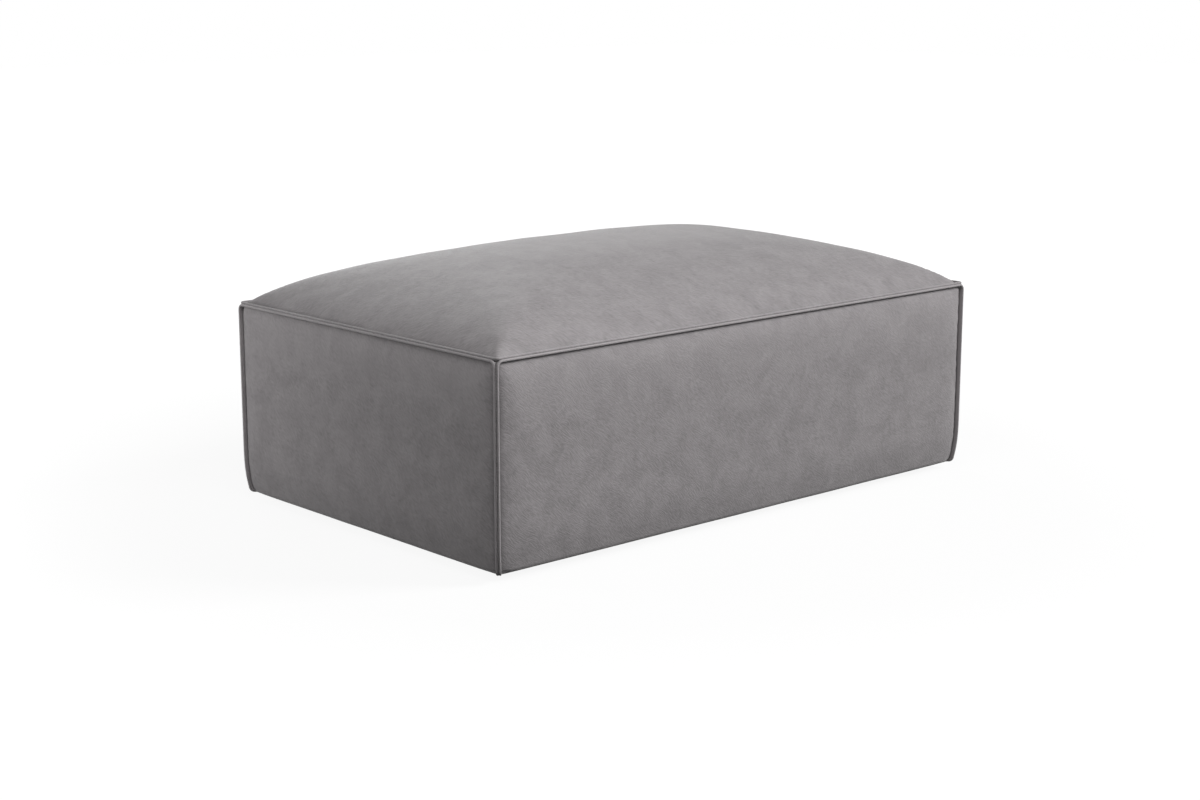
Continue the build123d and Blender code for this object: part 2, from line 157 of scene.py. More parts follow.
class Ripple:
    """Smooth repeatable unevenness made of a few waves with seeded directions and phases."""

    def __init__(self, seed: int, length: float, waves: int = 14) -> None:
        """Keep the waves.

        Args:
            seed: Seed of the directions and phases.
            length: Usual wave length in metres.
            waves: How many waves are summed.
        """
        rng = np.random.default_rng(seed)
        turn = rng.uniform(0, 2 * math.pi, waves)
        rate = 2 * math.pi / (length * rng.uniform(0.6, 1.7, waves))
        self.kx = rate * np.cos(turn)
        self.ky = rate * np.sin(turn)
        self.phase = rng.uniform(0, 2 * math.pi, waves)

    def __call__(self, x: Grid, y: Grid) -> Grid:
        """Unevenness at places, mostly between -1 and 1."""
        total = np.zeros(np.broadcast(x, y).shape)
        for kx, ky, phase in zip(self.kx, self.ky, self.phase):
            total += np.sin(kx * x + ky * y + phase)
        return total * math.sqrt(2 / len(self.kx)) * 0.6


class MeshMaker:
    """Turns grids of points into finished objects at the origin."""

    @staticmethod
    def rim(rows: int, columns: int) -> Grid:
        """Numbers of a grid's outer points, once round."""
        index = np.arange(rows * columns).reshape(rows, columns)
        return np.concatenate([index[0, :-1], index[:-1, -1], index[-1, :0:-1], index[:0:-1, 0]])

    @staticmethod
    def shell(
        name: str,
        outer: Grid,
        inner: Grid,
        skirts: Sequence[Grid] = (),
        uv: Grid | None = None,
        marks: dict[str, Grid] | None = None,
    ) -> Thing:
        """Closed mesh of two grids of the same size that are joined round their rims.

        Args:
            name: Name of the new object.
            outer: Grid of points of the outer face, rows x columns x 3.
            inner: Grid of points of the inner face.
            skirts: Rings of rim points between the outer and the inner rim.
            uv: Surface coordinates in metres for the outer grid, used for the inner one too.
            marks: Values for each point of the grids, kept as attributes.

        Returns:
            The object, smooth shaded.
        """
        rows, columns = outer.shape[:2]
        count = rows * columns
        index = np.arange(count).reshape(rows, columns)
        rim = MeshMaker.rim(rows, columns)
        corners = [index[:-1, :-1], index[:-1, 1:], index[1:, 1:], index[1:, :-1]]
        quads = np.stack(corners, -1).reshape(-1, 4)
        faces = [quads, quads[:, ::-1] + count]
        between = [2 * count + k * len(rim) + np.arange(len(rim)) for k in range(len(skirts))]
        rings = [rim, *between, rim + count]
        for first, second in zip(rings[:-1], rings[1:]):
            faces.append(np.stack([np.roll(first, -1), first, second, np.roll(second, -1)], -1))
        points = np.concatenate([grid.reshape(-1, 3) for grid in (outer, inner, *skirts)])
        mesh = bpy.data.meshes.new(name)
        mesh.from_pydata(points.tolist(), [], np.concatenate(faces).tolist())

        def everywhere(flat: Grid) -> Grid:
            """Values of the outer grid, repeated for the inner one and the skirts."""
            return np.concatenate([flat, flat] + [flat[rim]] * len(skirts)).astype(np.float32)

        if uv is not None:
            loops = np.empty(len(mesh.loops), np.int32)
            mesh.loops.foreach_get("vertex_index", loops)
            layer = mesh.uv_layers.new(name="surface")
            layer.data.foreach_set("uv", everywhere(uv.reshape(-1, 2))[loops].ravel())
        for word, values in (marks or {}).items():
            mark = mesh.attributes.new(word, "FLOAT", "POINT")
            mark.data.foreach_set("value", everywhere(values.reshape(-1)))
        return MeshMaker.finish(name, mesh)

    @staticmethod
    def finish(name: str, mesh: bpy.types.Mesh) -> Thing:
        """Link a mesh as a smooth object with its faces outwards."""
        work = bmesh.new()
        work.from_mesh(mesh)
        bmesh.ops.recalc_face_normals(work, faces=work.faces)
        work.to_mesh(mesh)
        work.free()
        mesh.shade_smooth()
        return MeshMaker.link(name, mesh)

    @staticmethod
    def link(name: str, data: bpy.types.ID) -> Thing:
        """A new object of the scene that shows some data."""
        thing = bpy.data.objects.new(name, data)
        bpy.context.scene.collection.objects.link(thing)
        return thing

    @staticmethod
    def turned(grid: Grid, side: Side) -> Grid:
        """A grid made for the side that faces -Y, turned to a side."""
        angle = side.value * math.pi / 2
        c, s = round(math.cos(angle)), round(math.sin(angle))
        x, y, z = grid[..., 0], grid[..., 1], grid[..., 2]
        return np.stack([c * x - s * y, s * x + c * y, z], -1)


def shaded(colour: Colour, share: float) -> Colour:
    """A colour made darker or lighter."""
    return tuple(min(1.0, c * share) for c in colour)


class Nodes:
    """Adds and joins the nodes of one tree."""

    def __init__(self, tree: bpy.types.NodeTree) -> None:
        """Take over a tree and empty it."""
        self.tree = tree
        tree.nodes.clear()

    def feed(self, socket: Socket, value: object) -> None:
        """Join an input to another node's output, or set its own value."""
        if isinstance(value, Socket):
            self.tree.links.new(value, socket)
        elif socket.type == "RGBA":
            socket.default_value = (*value, 1)
        else:
            socket.default_value = value

    def add(self, kind: str, **settings: object) -> bpy.types.Node:
        """Add a node and set its properties, or feed its inputs by name, with _ for a space."""
        node = self.tree.nodes.new(kind)
        for word, value in settings.items():
            if hasattr(node, word):
                setattr(node, word, value)
            else:
                self.feed(node.inputs[word.replace("_", " ")], value)
        return node

    def joined(self, kind: str, *values: object, **settings: object) -> Socket:
        """First output of a new node, whose inputs are fed in their order."""
        node = self.add(kind, **settings)
        for socket, value in zip(node.inputs, values):
            self.feed(socket, value)
        return node.outputs[0]

    def maths(self, operation: str, *values: object) -> Socket:
        """Result of a Math node of sockets or numbers."""
        return self.joined("ShaderNodeMath", *values, operation=operation)

    def vectors(self, operation: str, *values: object) -> Socket:
        """Result of a Vector Math node of vectors."""
        return self.joined("ShaderNodeVectorMath", *values, operation=operation)

    def scaled(self, vector: Socket, share: object) -> Socket:
        """A vector times a number."""
        return self.add("ShaderNodeVectorMath", operation="SCALE", Vector=vector, Scale=share).outputs[0]

    def between(self, share: Socket, first: Socket, second: Socket) -> Socket:
        """A mix of two shaders."""
        return self.joined("ShaderNodeMixShader", share, first, second)

    def seen(self) -> Socket:
        """1 for the rays that see the background: camera, glossy and transmission rays."""
        path = self.add("ShaderNodeLightPath").outputs
        mirrored = self.maths("MAXIMUM", path["Is Camera Ray"], path["Is Glossy Ray"])
        return self.maths("MAXIMUM", mirrored, path["Is Transmission Ray"])


class Shader(Nodes):
    """The nodes of one material round a Principled shader."""

    def __init__(self, name: str) -> None:
        """Start a node material with its output and a Principled shader."""
        self.material = bpy.data.materials.new(name)
        self.material.use_nodes = True
        super().__init__(self.material.node_tree)
        self.body = self.add("ShaderNodeBsdfPrincipled")
        self.add("ShaderNodeOutputMaterial", Surface=self.body.outputs[0])

    def place(self, scale: Point = (1, 1, 1)) -> Socket:
        """The object's own coordinates in metres, times a scale."""
        source = self.add("ShaderNodeTexCoord").outputs["Object"]
        return self.add("ShaderNodeMapping", Vector=source, Scale=scale).outputs[0]

    def noise(self, vector: Socket, scale: float, detail: float = 2.0, warp: float = 0.0) -> Socket:
        """Noise factor at a vector."""
        node = self.add("ShaderNodeTexNoise", Vector=vector, Scale=scale, Detail=detail, Distortion=warp)
        return node.outputs["Fac"]

    def mix(self, factor: object, first: object, second: object) -> Socket:
        """A colour between two colours or sockets."""
        node = self.add("ShaderNodeMix", data_type="RGBA")
        for socket, value in ((node.inputs[0], factor), (node.inputs[6], first), (node.inputs[7], second)):
            self.feed(socket, value)
        return node.outputs[2]

    def blend(self, first: Socket, share: float, second: Socket) -> Socket:
        """A share of one factor and the rest of another."""
        return self.maths("MULTIPLY_ADD", first, share, self.maths("MULTIPLY", second, round(1 - share, 6)))

    def ramp(self, factor: Socket, low: float, high: float) -> Socket:
        """A factor stretched so that low gives 0 and high gives 1, smoothly."""
        node = self.add(
            "ShaderNodeMapRange", interpolation_type="SMOOTHSTEP", Value=factor, From_Min=low, From_Max=high
        )
        return node.outputs[0]

    def bump(self, height: Socket, distance: float, strength: float, **before: Socket) -> Socket:
        """Bump of a height, over an earlier bump that is given as Normal."""
        node = self.add("ShaderNodeBump", Height=height, Distance=distance, Strength=strength, **before)
        return node.outputs[0]

    def finish(self, colour: Socket, roughness: object, normal: Socket, **constants: float) -> Material:
        """Feed the finished channels and the constants, and return the material."""
        channels = {"Base Color": colour, "Roughness": roughness, "Normal": normal, **constants}
        for word, value in channels.items():
            self.feed(self.body.inputs[word.replace("_", " ")], value)
        return self.material


@dataclass(frozen=True)
class VelvetFinish:
    """Short-pile velvet: nap strokes, cloudy tone, painted shade in the seams and low down, and painted
    highlights on the lips, under the top seam and on the crown.
    """

    colour: Colour = (0.262, 0.247, 0.252)
    light_share: float = 1.24
    dark_share: float = 0.76
    # Painted shade and painted highlight: a darker and a lighter copy of the velvet colour.
    painted_shade_share: float = 0.34
    painted_highlight_share: float = 1.45
    nap_turn: float = 38.0
    stroke_length: float = 0.0095
    stroke_width: float = 0.0016
    swirl_rate: float = 22.0
    swirl_shift: float = 0.018
    cloud: float = 0.040
    grain_rate: float = 1300.0
    stroke_share: float = 0.62
    grain_share: float = 0.30
    # How much of the painted highlight and of the painted shade is mixed in.
    painted_highlight_mix: float = 0.55
    painted_shade_mix: float = 0.80

    def build(self) -> Material:
        """The velvet as a material that follows the surface map."""
        s = Shader("grey_velvet")
        surface = s.add("ShaderNodeUVMap", uv_map="surface").outputs["UV"]
        turn = (0, 0, math.radians(self.nap_turn))
        lie = s.add("ShaderNodeMapping", Vector=surface, Rotation=turn).outputs[0]
        swirl = s.add("ShaderNodeTexNoise", Vector=lie, Scale=self.swirl_rate, Detail=2).outputs["Color"]
        shift = s.scaled(s.vectors("SUBTRACT", swirl, (0.5, 0.5, 0.5)), self.swirl_shift)
        pull = (1 / self.stroke_length, 1 / self.stroke_width, 1)
        nap_map_or_highlight = s.add("ShaderNodeMapping", Vector=s.vectors("ADD", lie, shift), Scale=pull).outputs[0]
        strokes = s.ramp(s.noise(nap_map_or_highlight, 1.0, 3.0, 0.4), 0.30, 0.70)
        clouds = s.ramp(s.noise(lie, 1 / self.cloud, 3.0, 0.6), 0.28, 0.72)
        grain = s.noise(lie, self.grain_rate)
        # The groove attribute carries painted shade: in the seams, deepest at the near corner, and low down on
        # the walls.
        groove = s.add("ShaderNodeAttribute", attribute_name="groove").outputs["Fac"]
        painted_highlight = s.add("ShaderNodeAttribute", attribute_name="painted_highlight").outputs["Fac"]
        dark = shaded(self.colour, self.dark_share)
        tone = s.mix(s.blend(strokes, self.stroke_share, clouds), dark, shaded(self.colour, self.light_share))
        speckled = s.mix(s.maths("MULTIPLY", grain, self.grain_share), tone, dark)
        painted_highlight_tone = shaded(self.colour, self.painted_highlight_share)
        painted_shade_tone = shaded(self.colour, self.painted_shade_share)
        # Painted highlight: the lighter copy is mixed in on the lips, under the top seam and on the crown.
        highlighted = s.mix(s.maths("MULTIPLY", painted_highlight, self.painted_highlight_mix), speckled, painted_highlight_tone)
        # Painted shade: the darker copy is mixed in where the groove attribute is set.
        colour = s.mix(s.maths("MULTIPLY", groove, self.painted_shade_mix), highlighted, painted_shade_tone)
        pile = s.bump(grain, 0.0003, 0.40, Normal=s.bump(strokes, 0.0005, 0.38))
        roughness = s.maths("MULTIPLY_ADD", strokes, -0.10, 0.95)
        return s.finish(
            colour, roughness, pile, Sheen_Weight=0.35, Sheen_Roughness=0.42, Specular_IOR_Level=0.2
        )


@dataclass(frozen=True)
class TimberFinish:
    """Planed softwood: growth lines along the member, pores and a few darker streaks."""

    pale: Colour = (0.58, 0.40, 0.22)
    dark: Colour = (0.36, 0.21, 0.10)
    across_rate: float = 60.0
    along_rate: float = 3.0
    along: int = 0

    def build(self) -> Material:
        """The timber, with its grain along one of the three axes."""
        s = Shader(f"softwood_grain_{'xyz'[self.along]}")
        where = s.place(tuple(self.along_rate if k == self.along else self.across_rate for k in range(3)))
        lines = s.noise(where, 1.2, 4.0, 1.4)
        bands = s.ramp(s.maths("PINGPONG", s.maths("MULTIPLY", lines, 9.0), 0.5), 0.05, 0.45)
        pores = s.noise(where, 9.0, 3.0)
        streak = s.ramp(s.noise(where, 0.5, 2.0), 0.45, 0.7)
        tone = s.mix(s.blend(bands, 0.6, pores), self.pale, self.dark)
        colour = s.mix(s.maths("MULTIPLY", streak, 0.35), tone, self.dark)
        normal = s.bump(s.maths("ADD", bands, pores), 0.0003, 0.5)
        return s.finish(colour, s.maths("MULTIPLY_ADD", pores, 0.2, 0.55), normal)


@dataclass(frozen=True)
class MetalFinish:
    """Drawn or zinc-plated steel: fine draw lines, dull patches and light wear."""

    name: str
    colour: Colour
    roughness: float
    worn_share: float = 0.62

    def build(self) -> Material:
        """The metal as a material."""
        s = Shader(self.name)
        patches = s.noise(s.place(), 60, 3.0)
        lines = s.noise(s.place((900, 900, 60)), 1.0)
        colour = s.mix(s.ramp(patches, 0.4, 0.75), self.colour, shaded(self.colour, self.worn_share))
        rough = s.maths("MULTIPLY_ADD", patches, 0.25, self.roughness - 0.1)
        return s.finish(colour, rough, s.bump(lines, 0.00008, 0.4), Metallic=1.0)


@dataclass(frozen=True)
class ClothFinish:
    """Plain soft layers: nonwoven cloth, felt, wadding and foam, from two noise sizes."""

    name: str
    colour: Colour
    cell: float
    depth: float
    dark_share: float = 0.7
    sheen: float = 0.1

    def build(self) -> Material:
        """The cloth or foam as a material."""
        s = Shader(self.name)
        where = s.place()
        cells = s.add("ShaderNodeTexVoronoi", Vector=where, Scale=1 / self.cell)
        pattern = s.ramp(cells.outputs["Distance"], 0.1, 0.7)
        share = s.blend(pattern, 0.6, s.noise(where, 0.08 / self.cell, 3.0))
        colour = s.mix(share, self.colour, shaded(self.colour, self.dark_share))
        normal = s.bump(pattern, self.depth, 0.7)
        return s.finish(colour, 0.92, normal, Sheen_Weight=self.sheen, Sheen_Roughness=0.5)


@dataclass(frozen=True)
class MouldedFinish:
    """Moulded plastic of the glides: fine spark texture with scuffs from the floor."""

    colour: Colour = (0.030, 0.030, 0.032)
    scuffed_share: float = 3.2

    def build(self) -> Material:
        """The plastic as a material."""
        s = Shader("glide_plastic")
        spark = s.noise(s.place(), 1500)
        scuff = s.ramp(s.noise(s.place((300, 40, 300)), 1.0, 3.0), 0.55, 0.8)
        colour = s.mix(s.maths("MULTIPLY", scuff, 0.6), self.colour, shaded(self.colour, self.scuffed_share))
        rough = s.maths("MULTIPLY_ADD", scuff, 0.2, 0.42)
        return s.finish(colour, rough, s.bump(spark, 0.0001, 0.5))


@dataclass(frozen=True)
class BoardFinish:
    """Pressed hardboard: brown fibres in flecks, with a slightly shiny face."""

    colour: Colour = (0.20, 0.105, 0.050)
    pale_share: float = 1.7
    dark_share: float = 0.6

    def build(self) -> Material:
        """The board as a material."""
        s = Shader("pressed_board")
        where = s.place()
        flecks = s.noise(where, 420, 4.0, 0.8)
        broad = s.maths("MULTIPLY", s.noise(where, 18), 0.3)
        fleck_share = s.ramp(flecks, 0.35, 0.75)
        colour = s.mix(fleck_share, self.colour, shaded(self.colour, self.pale_share))
        colour = s.mix(broad, colour, shaded(self.colour, self.dark_share))
        rough = s.maths("MULTIPLY_ADD", flecks, 0.2, 0.45)
        return s.finish(colour, rough, s.bump(flecks, 0.0002, 0.5))


@dataclass
class SeamLip:
    """Section of a panel's edge: the rolled bead, the groove beside it and the rounded shoulder.

    The stations run from the crease over the bead (bead_turns), down its wall and over the groove's floor to
    the face (steps). Groove and near-corner marks give the share of painted shade from a station on, ridge
    marks the share of painted highlight.
    """

    radius: float = 0.0021
    reach: float = 0.00527
    groove_place: float = 0.0082
    groove_depth: float = 0.0070
    shoulder: float = 0.0135
    last: float = 0.056
    spread_end: float = 0.0079
    bead_turns: tuple[float, ...] = (225, 200, 170, 140, 110, 80, 50, 20, -14)
    wall: Place = (0.00775, 0.0051)
    steps: tuple[float, ...] = (
        0.0090, 0.0100, 0.0113, 0.0130, 0.0150, 0.0175, 0.0205, 0.0240, 0.0285, 0.0335, 0.0395, 0.0470
    )
    # Painted shade from the groove's floor on, longer and deeper at the near corner; painted highlight over the
    # bead and its wall.
    groove_shade_marks: tuple[float, ...] = (0.05, 1.0, 0.75, 0.25, 0.05)
    near_corner_shade_marks: tuple[float, ...] = (0.35, 1.0, 0.92, 0.72, 0.52, 0.38, 0.26, 0.14, 0.05)
    lip_highlight_marks: tuple[float, ...] = (0.35, 0.75, 1.0, 1.0, 1.0, 1.0, 1.0, 1.0, 0.9)
    across: Grid = field(init=False)
    depth: Grid = field(init=False)
    spread: Grid = field(init=False)

    def __post_init__(self) -> None:
        """Work out the stations from the crease to the face."""
        turns = np.radians(self.bead_turns)
        bead_u = np.append(self.reach + self.radius * np.cos(turns), self.wall[0])
        bead_v = np.append(self.radius - self.radius * np.sin(turns), self.wall[1])
        face_u = np.array([self.groove_place, *self.steps, self.last])
        base = FORM.face_inset
        face_v = base + (self.groove_depth - base) * np.exp(-(face_u - self.groove_place) / self.shoulder)
        face_v -= (face_v[-1] - base) * np.linspace(0, 1, len(face_v))
        self.across = np.concatenate([bead_u, face_u])
        self.depth = np.concatenate([bead_v, face_v])
        self.spread = np.concatenate([np.linspace(bead_u[0], self.spread_end, len(bead_u)), face_u])

    @property
    def count(self) -> int:
        """Number of stations."""
        return len(self.across)

    @property
    def floor(self) -> int:
        """Station at the groove's floor."""
        return len(self.bead_turns) + 1

    def mark(self, ring: Grid, values: Sequence[float], first: int) -> Grid:
        """Marks of a grid's rings, given from a first station on."""
        table = np.zeros(self.count + 1)
        table[first:first + len(values)] = values
        return table[np.minimum(ring, self.count)]


LIP = SeamLip()


def edge_lines(length: float, pitch: float) -> tuple[Grid, Grid]:
    """Grid lines across a panel that has a lip at both ends.

    Args:
        length: Whole length between the box sides.
        pitch: Usual distance of the lines in the middle.

    Returns:
        Distance of each line from its nearer box side, and its station number there.
    """
    middle = length / 2 - LIP.last
    count = max(2, int(round(middle * 2 / pitch)))
    inner = np.linspace(LIP.last, length - LIP.last, count + 1)[1:-1]
    near = np.minimum(inner, length - inner)
    lines = np.concatenate([LIP.spread, near, LIP.spread[::-1]])
    order = np.arange(len(lines))
    return lines, np.minimum(np.minimum(order, order[::-1]), LIP.count)


def halved(lines: Grid) -> Grid:
    """-1 for the first half of a grid's lines and 1 for the second."""
    return np.where(np.arange(len(lines)) < len(lines) / 2, -1, 1)


def rounded(first: Grid, second: Grid, ring: Grid, centre_radius: float) -> tuple[Grid, Grid]:
    """Distances from the two box sides at a panel's corner, with the lip's rings turned round it.

    Args:
        first: Spread distance from the first side.
        second: Spread distance from the second side.
        ring: Ring number of each point.
        centre_radius: Radius of the bead's centre line at the corner.

    Returns:
        Distances from both sides.
    """
    far = LIP.reach + centre_radius
    capped = np.minimum(ring, LIP.count - 1)
    inset = np.where(ring < LIP.count, LIP.across[capped], np.minimum(first, second))
    spread = np.where(ring < LIP.count, LIP.spread[capped], inset)
    radius = np.maximum(far - inset, 0)
    other = np.maximum(first, second)
    share = np.clip((other - spread) / np.maximum(far - spread, TINY), 0, 1)
    turn = math.pi / 4 * (1 - share)
    short = np.where(inset < far, far - radius * np.cos(turn), inset)
    long = np.where((inset < far) & (other < far), far - radius * np.sin(turn), other)
    nearer = first <= second
    return np.where(nearer, short, long), np.where(nearer, long, short)


class Swell:
    """How far the filling pushes a panel out, known on an even net over the panel."""

    def __init__(self, low: Place, high: Place, net: Grid) -> None:
        """Keep the net, rows up the second axis and columns along the first."""
        self.low, self.high, self.net = low, high, net

    def at(self, first: Grid, second: Grid) -> Grid:
        """The push at places, read between the net's points."""
        rows, columns = self.net.shape
        u = ramp(first, self.low[0], self.high[0] - self.low[0]) * (columns - 1)
        v = ramp(second, self.low[1], self.high[1] - self.low[1]) * (rows - 1)
        i, j = np.minimum(u.astype(int), columns - 2), np.minimum(v.astype(int), rows - 2)
        a, b = smooth(u - i), smooth(v - j)
        lower = self.net[j, i] * (1 - a) + self.net[j, i + 1] * a
        upper = self.net[j + 1, i] * (1 - a) + self.net[j + 1, i + 1] * a
        return lower * (1 - b) + upper * b


@dataclass
class Stuffing:
    """Cloth simulation of the stuffed panels: each starts a little slack, held in its seams, and swells."""

    voxel: float = 0.009
    net: float = 0.012
    slack: float = 0.0012
    slack_run: float = 0.03
    most: float = 0.0014
    pad_depth: float = 0.03
    upper_from: float = -0.02
    seam_width: float = 0.010
    rim_run: float = 0.012
    smoothings: int = 3
    neighbours: int = 6
    nearness: float = 0.002
    pressure: float = 5.0
    stiffness: float = 25.0
    frames: int = 20

    def all_swells(self) -> dict[str, Swell]:
        """The swell of the top, a long side and a short side."""

        def crown(x: Grid, y: Grid) -> Grid:
            """Height of the crown over its seam."""
            return FORM.crown_rise * FORM.crown_share(x, y, LIP.groove_place)

        def flat(x: Grid, y: Grid) -> Grid:
            """A flat panel."""
            return np.zeros(np.broadcast(x, y).shape)

        inset = LIP.groove_place
        x, y, top = FORM.half_length - inset, FORM.half_depth - inset, FORM.seam_top - inset
        return {
            "top": self.swell("top", (-x, -y), (x, y), crown),
            "front": self.swell("front", (-x, FORM.bend), (x, top), flat),
            "left": self.swell("left", (-y, FORM.bend), (y, top), flat),
        }

    @staticmethod
    def from_rim(x: Grid, y: Grid, low: Place, high: Place) -> Grid:
        """Distance of places from the panel's nearest seam."""
        return np.minimum(np.minimum(x - low[0], high[0] - x), np.minimum(y - low[1], high[1] - y))

    def swell(self, name: str, low: Place, high: Place, height: Callable[[Grid, Grid], Grid]) -> Swell:
        """Swell one stuffed panel.

        Args:
            name: Name of the panel.
            low: Lowest corner of the panel in its own plane.
            high: Highest corner of the panel in its own plane.
            height: Height of the full panel over its plane.

        Returns:
            The swell over the full panel's height, between slack and the most that is allowed.
        """
        columns, rows = (int((end - start) / self.net) + 1 for start, end in zip(low, high))
        x, y = np.meshgrid(np.linspace(low[0], high[0], columns), np.linspace(low[1], high[1], rows))
        rim = self.from_rim(x, y, low, high)
        slack = self.slack * np.clip(rim / self.slack_run, 0, 1)
        outer = np.stack([x, y, height(x, y) - slack], -1)
        inner = np.stack([x, y, np.full_like(x, -self.pad_depth)], -1)
        pad = MeshMaker.shell(f"stuffing_{name}", outer, inner)
        start, end = self.simulate(pad, low, high)
        net = np.clip(self.risen(x, y, start, end) - slack, -0.5 * self.slack, self.most)
        for _ in range(self.smoothings):
            wide = np.pad(net, 1, mode="edge")
            net = (wide[:-2, 1:-1] + wide[2:, 1:-1] + wide[1:-1, :-2] + wide[1:-1, 2:] + 2 * net) / 6
        net *= np.clip(rim / self.rim_run, 0, 1)
        log.info("%s swells from %.1f to %.1f mm", name, net.min() * 1e3, net.max() * 1e3)
        return Swell(low, high, net)

    def risen(self, x: Grid, y: Grid, start: Grid, end: Grid) -> Grid:
        """Rise of the pad's upper face at places, from the nearest points of each."""
        rise = end[:, 2] - start[:, 2]
        upper = np.flatnonzero(start[:, 2] > self.upper_from)
        tree = KDTree(len(upper))
        for number in upper:
            tree.insert((start[number, 0], start[number, 1], 0), int(number))
        tree.balance()
        found = np.zeros(x.size)
        for k, (px, py) in enumerate(zip(x.ravel(), y.ravel())):
            near = tree.find_n((px, py, 0), self.neighbours)
            weight = np.array([1 / (d + self.nearness) for _, _, d in near])
            found[k] = (weight * rise[[n for _, n, _ in near]]).sum() / weight.sum()
        return found.reshape(x.shape)

    def simulate(self, pad: Thing, low: Place, high: Place) -> tuple[Grid, Grid]:
        """Remesh a closed pad evenly, hold its seams and let its pressure swell it.

        Args:
            pad: The closed pad, removed afterwards.
            low: Lowest corner of the panel in its own plane.
            high: Highest corner of the panel in its own plane.

        Returns:
            The points before and after.
        """
        scene = bpy.context.scene
        even = pad.modifiers.new("even", "REMESH")
        even.mode = "VOXEL"
        even.voxel_size = self.voxel
        mesh = bpy.data.meshes.new_from_object(pad.evaluated_get(bpy.context.evaluated_depsgraph_get()))
        pad.modifiers.clear()
        pad.data = mesh
        start = np.array([v.co for v in mesh.vertices])
        rim = self.from_rim(start[:, 0], start[:, 1], low, high)
        held = (rim < self.seam_width) | (start[:, 2] < -self.pad_depth / 2)
        group = pad.vertex_groups.new(name="seams")
        group.add([int(n) for n in np.flatnonzero(held)], 1.0, "REPLACE")
        cloth = pad.modifiers.new("velvet", "CLOTH")
        settings = cloth.settings
        settings.quality = 4
        settings.mass = 0.35
        settings.tension_stiffness = self.stiffness
        settings.compression_stiffness = self.stiffness
        settings.bending_stiffness = 2.0
        settings.use_pressure = True
        settings.uniform_pressure_force = self.pressure
        settings.vertex_group_mass = "seams"
        settings.effector_weights.gravity = 0
        cloth.point_cache.frame_start = 1
        cloth.point_cache.frame_end = self.frames
        for number in range(1, self.frames + 1):
            scene.frame_set(number)
        swollen = pad.evaluated_get(bpy.context.evaluated_depsgraph_get())
        end = np.array([v.co for v in swollen.data.vertices])
        bpy.data.objects.remove(pad)
        scene.frame_set(1)
        return start, end


@dataclass
class Wall:
    """Net of one side panel: lines from end to end, rows from the top seam down and under the base.

    It is laid out for the side that faces -Y. A point's lift pushes it out of the side's face.
    """

    side: Side
    pitch: float
    corner: float
    bend_rows: int = 8
    hem_rows: int = 5
    hem_step: float = 0.0046
    hem_draw: float = 0.0028
    fade_from: float = 0.7
    fade_over: float = 0.8

    def __post_init__(self) -> None:
        """Work out the grids of the net."""
        self.half_along, self.half_out = self.side.halves
        low, radius = FORM.bend, FORM.bottom_radius
        face_top = FORM.seam_top - LIP.last
        face_rows = int(round((face_top - low) / self.pitch))
        heights = np.linspace(face_top, low, face_rows + 1)[1:]
        turns = np.radians(np.linspace(0, 90, self.bend_rows + 1)[1:])
        hem_start = FORM.face_inset + FORM.bottom_tuck + radius
        hem = np.linspace(hem_start, FORM.turn_under, self.hem_rows + 1)[1:]
        wall = FORM.seam_top - low
        self.drop = np.concatenate([
            LIP.spread,
            FORM.seam_top - heights,
            wall + radius * turns,
            wall + radius * math.pi / 2 + hem - hem[0] + self.hem_step,
        ])
        rows = np.arange(len(self.drop))[:, None]
        self.upright = rows < LIP.count + face_rows
        hemmed = rows >= len(self.drop) - self.hem_rows
        before = np.zeros(LIP.count + face_rows)
        self.angle = np.concatenate([before, turns, np.full(self.hem_rows, math.pi / 2)])[:, None]
        hem_inset = np.concatenate([before, np.zeros(self.bend_rows), hem])[:, None]

        lines, stations = edge_lines(2 * self.half_along, self.pitch)
        first, second = np.meshgrid(lines, self.drop)
        self.hand = halved(lines)[None, :]
        self.station_x, self.station_z = np.meshgrid(stations, np.minimum(rows[:, 0], LIP.count))
        self.ring = np.minimum(self.station_x, self.station_z)
        across, self.down = rounded(first, second, self.ring, self.corner)
        z_face = FORM.seam_top - self.down
        self.path_z = np.where(self.upright, z_face, low)
        tuck = FORM.tuck(self.path_z)
        turned_in = radius * (1 - np.cos(self.angle))
        self.inset = np.where(hemmed, hem_inset, FORM.face_inset + tuck + turned_in)
        self.height = np.where(self.upright, z_face, low - radius * np.sin(self.angle))
        self.fade = smooth(ramp(self.angle, self.fade_from, self.fade_over))
        edge = np.where(self.upright, tuck, self.inset - FORM.face_inset - self.hem_draw * self.fade)
        self.edge = edge * (1 - np.clip(first / self.half_along, 0, 1))
        self.across = across + (first - across) * self.fade
        depth = LIP.depth[np.minimum(self.ring, LIP.count - 1)]
        self.depth = depth + (FORM.face_inset - depth) * self.fade

    def along(self, from_end: Grid) -> Grid:
        """Place along the side at a distance from the nearer end."""
        return self.hand * (self.half_along - self.edge - from_end)

    def points(self, from_end: Grid, lift: Grid) -> Grid:
        """Points at distances from the nearer end, pushed out by a lift."""
        y = -self.half_out + self.inset - lift * np.cos(self.angle)
        z = self.height - lift * np.sin(self.angle)
        return np.stack([self.along(from_end), y, z], -1)


@dataclass(frozen=True)
class Unevenness:
    """Slow waves over a panel's face, and short gathers beside its seams."""

    wave_length: float
    wave_run: float
    gather_length: float
    gather_from: float
    gather_run: float
    sway: float = 0.0004
    pucker: float = 0.00045
    calm: float = 0.012

    def push(self, seeds: tuple[int, int], x: Grid, y: Grid, nearest: Grid) -> Grid:
        """The push outwards at places, by their distance from the nearest seam."""
        wave = Ripple(seeds[0], self.wave_length)(x, y) * self.sway * ramp(nearest, self.calm, self.wave_run)
        fall = np.exp(-np.maximum(nearest - self.gather_from, 0) / self.gather_run)
        return wave + Ripple(seeds[1], self.gather_length)(x, y) * self.pucker * fall


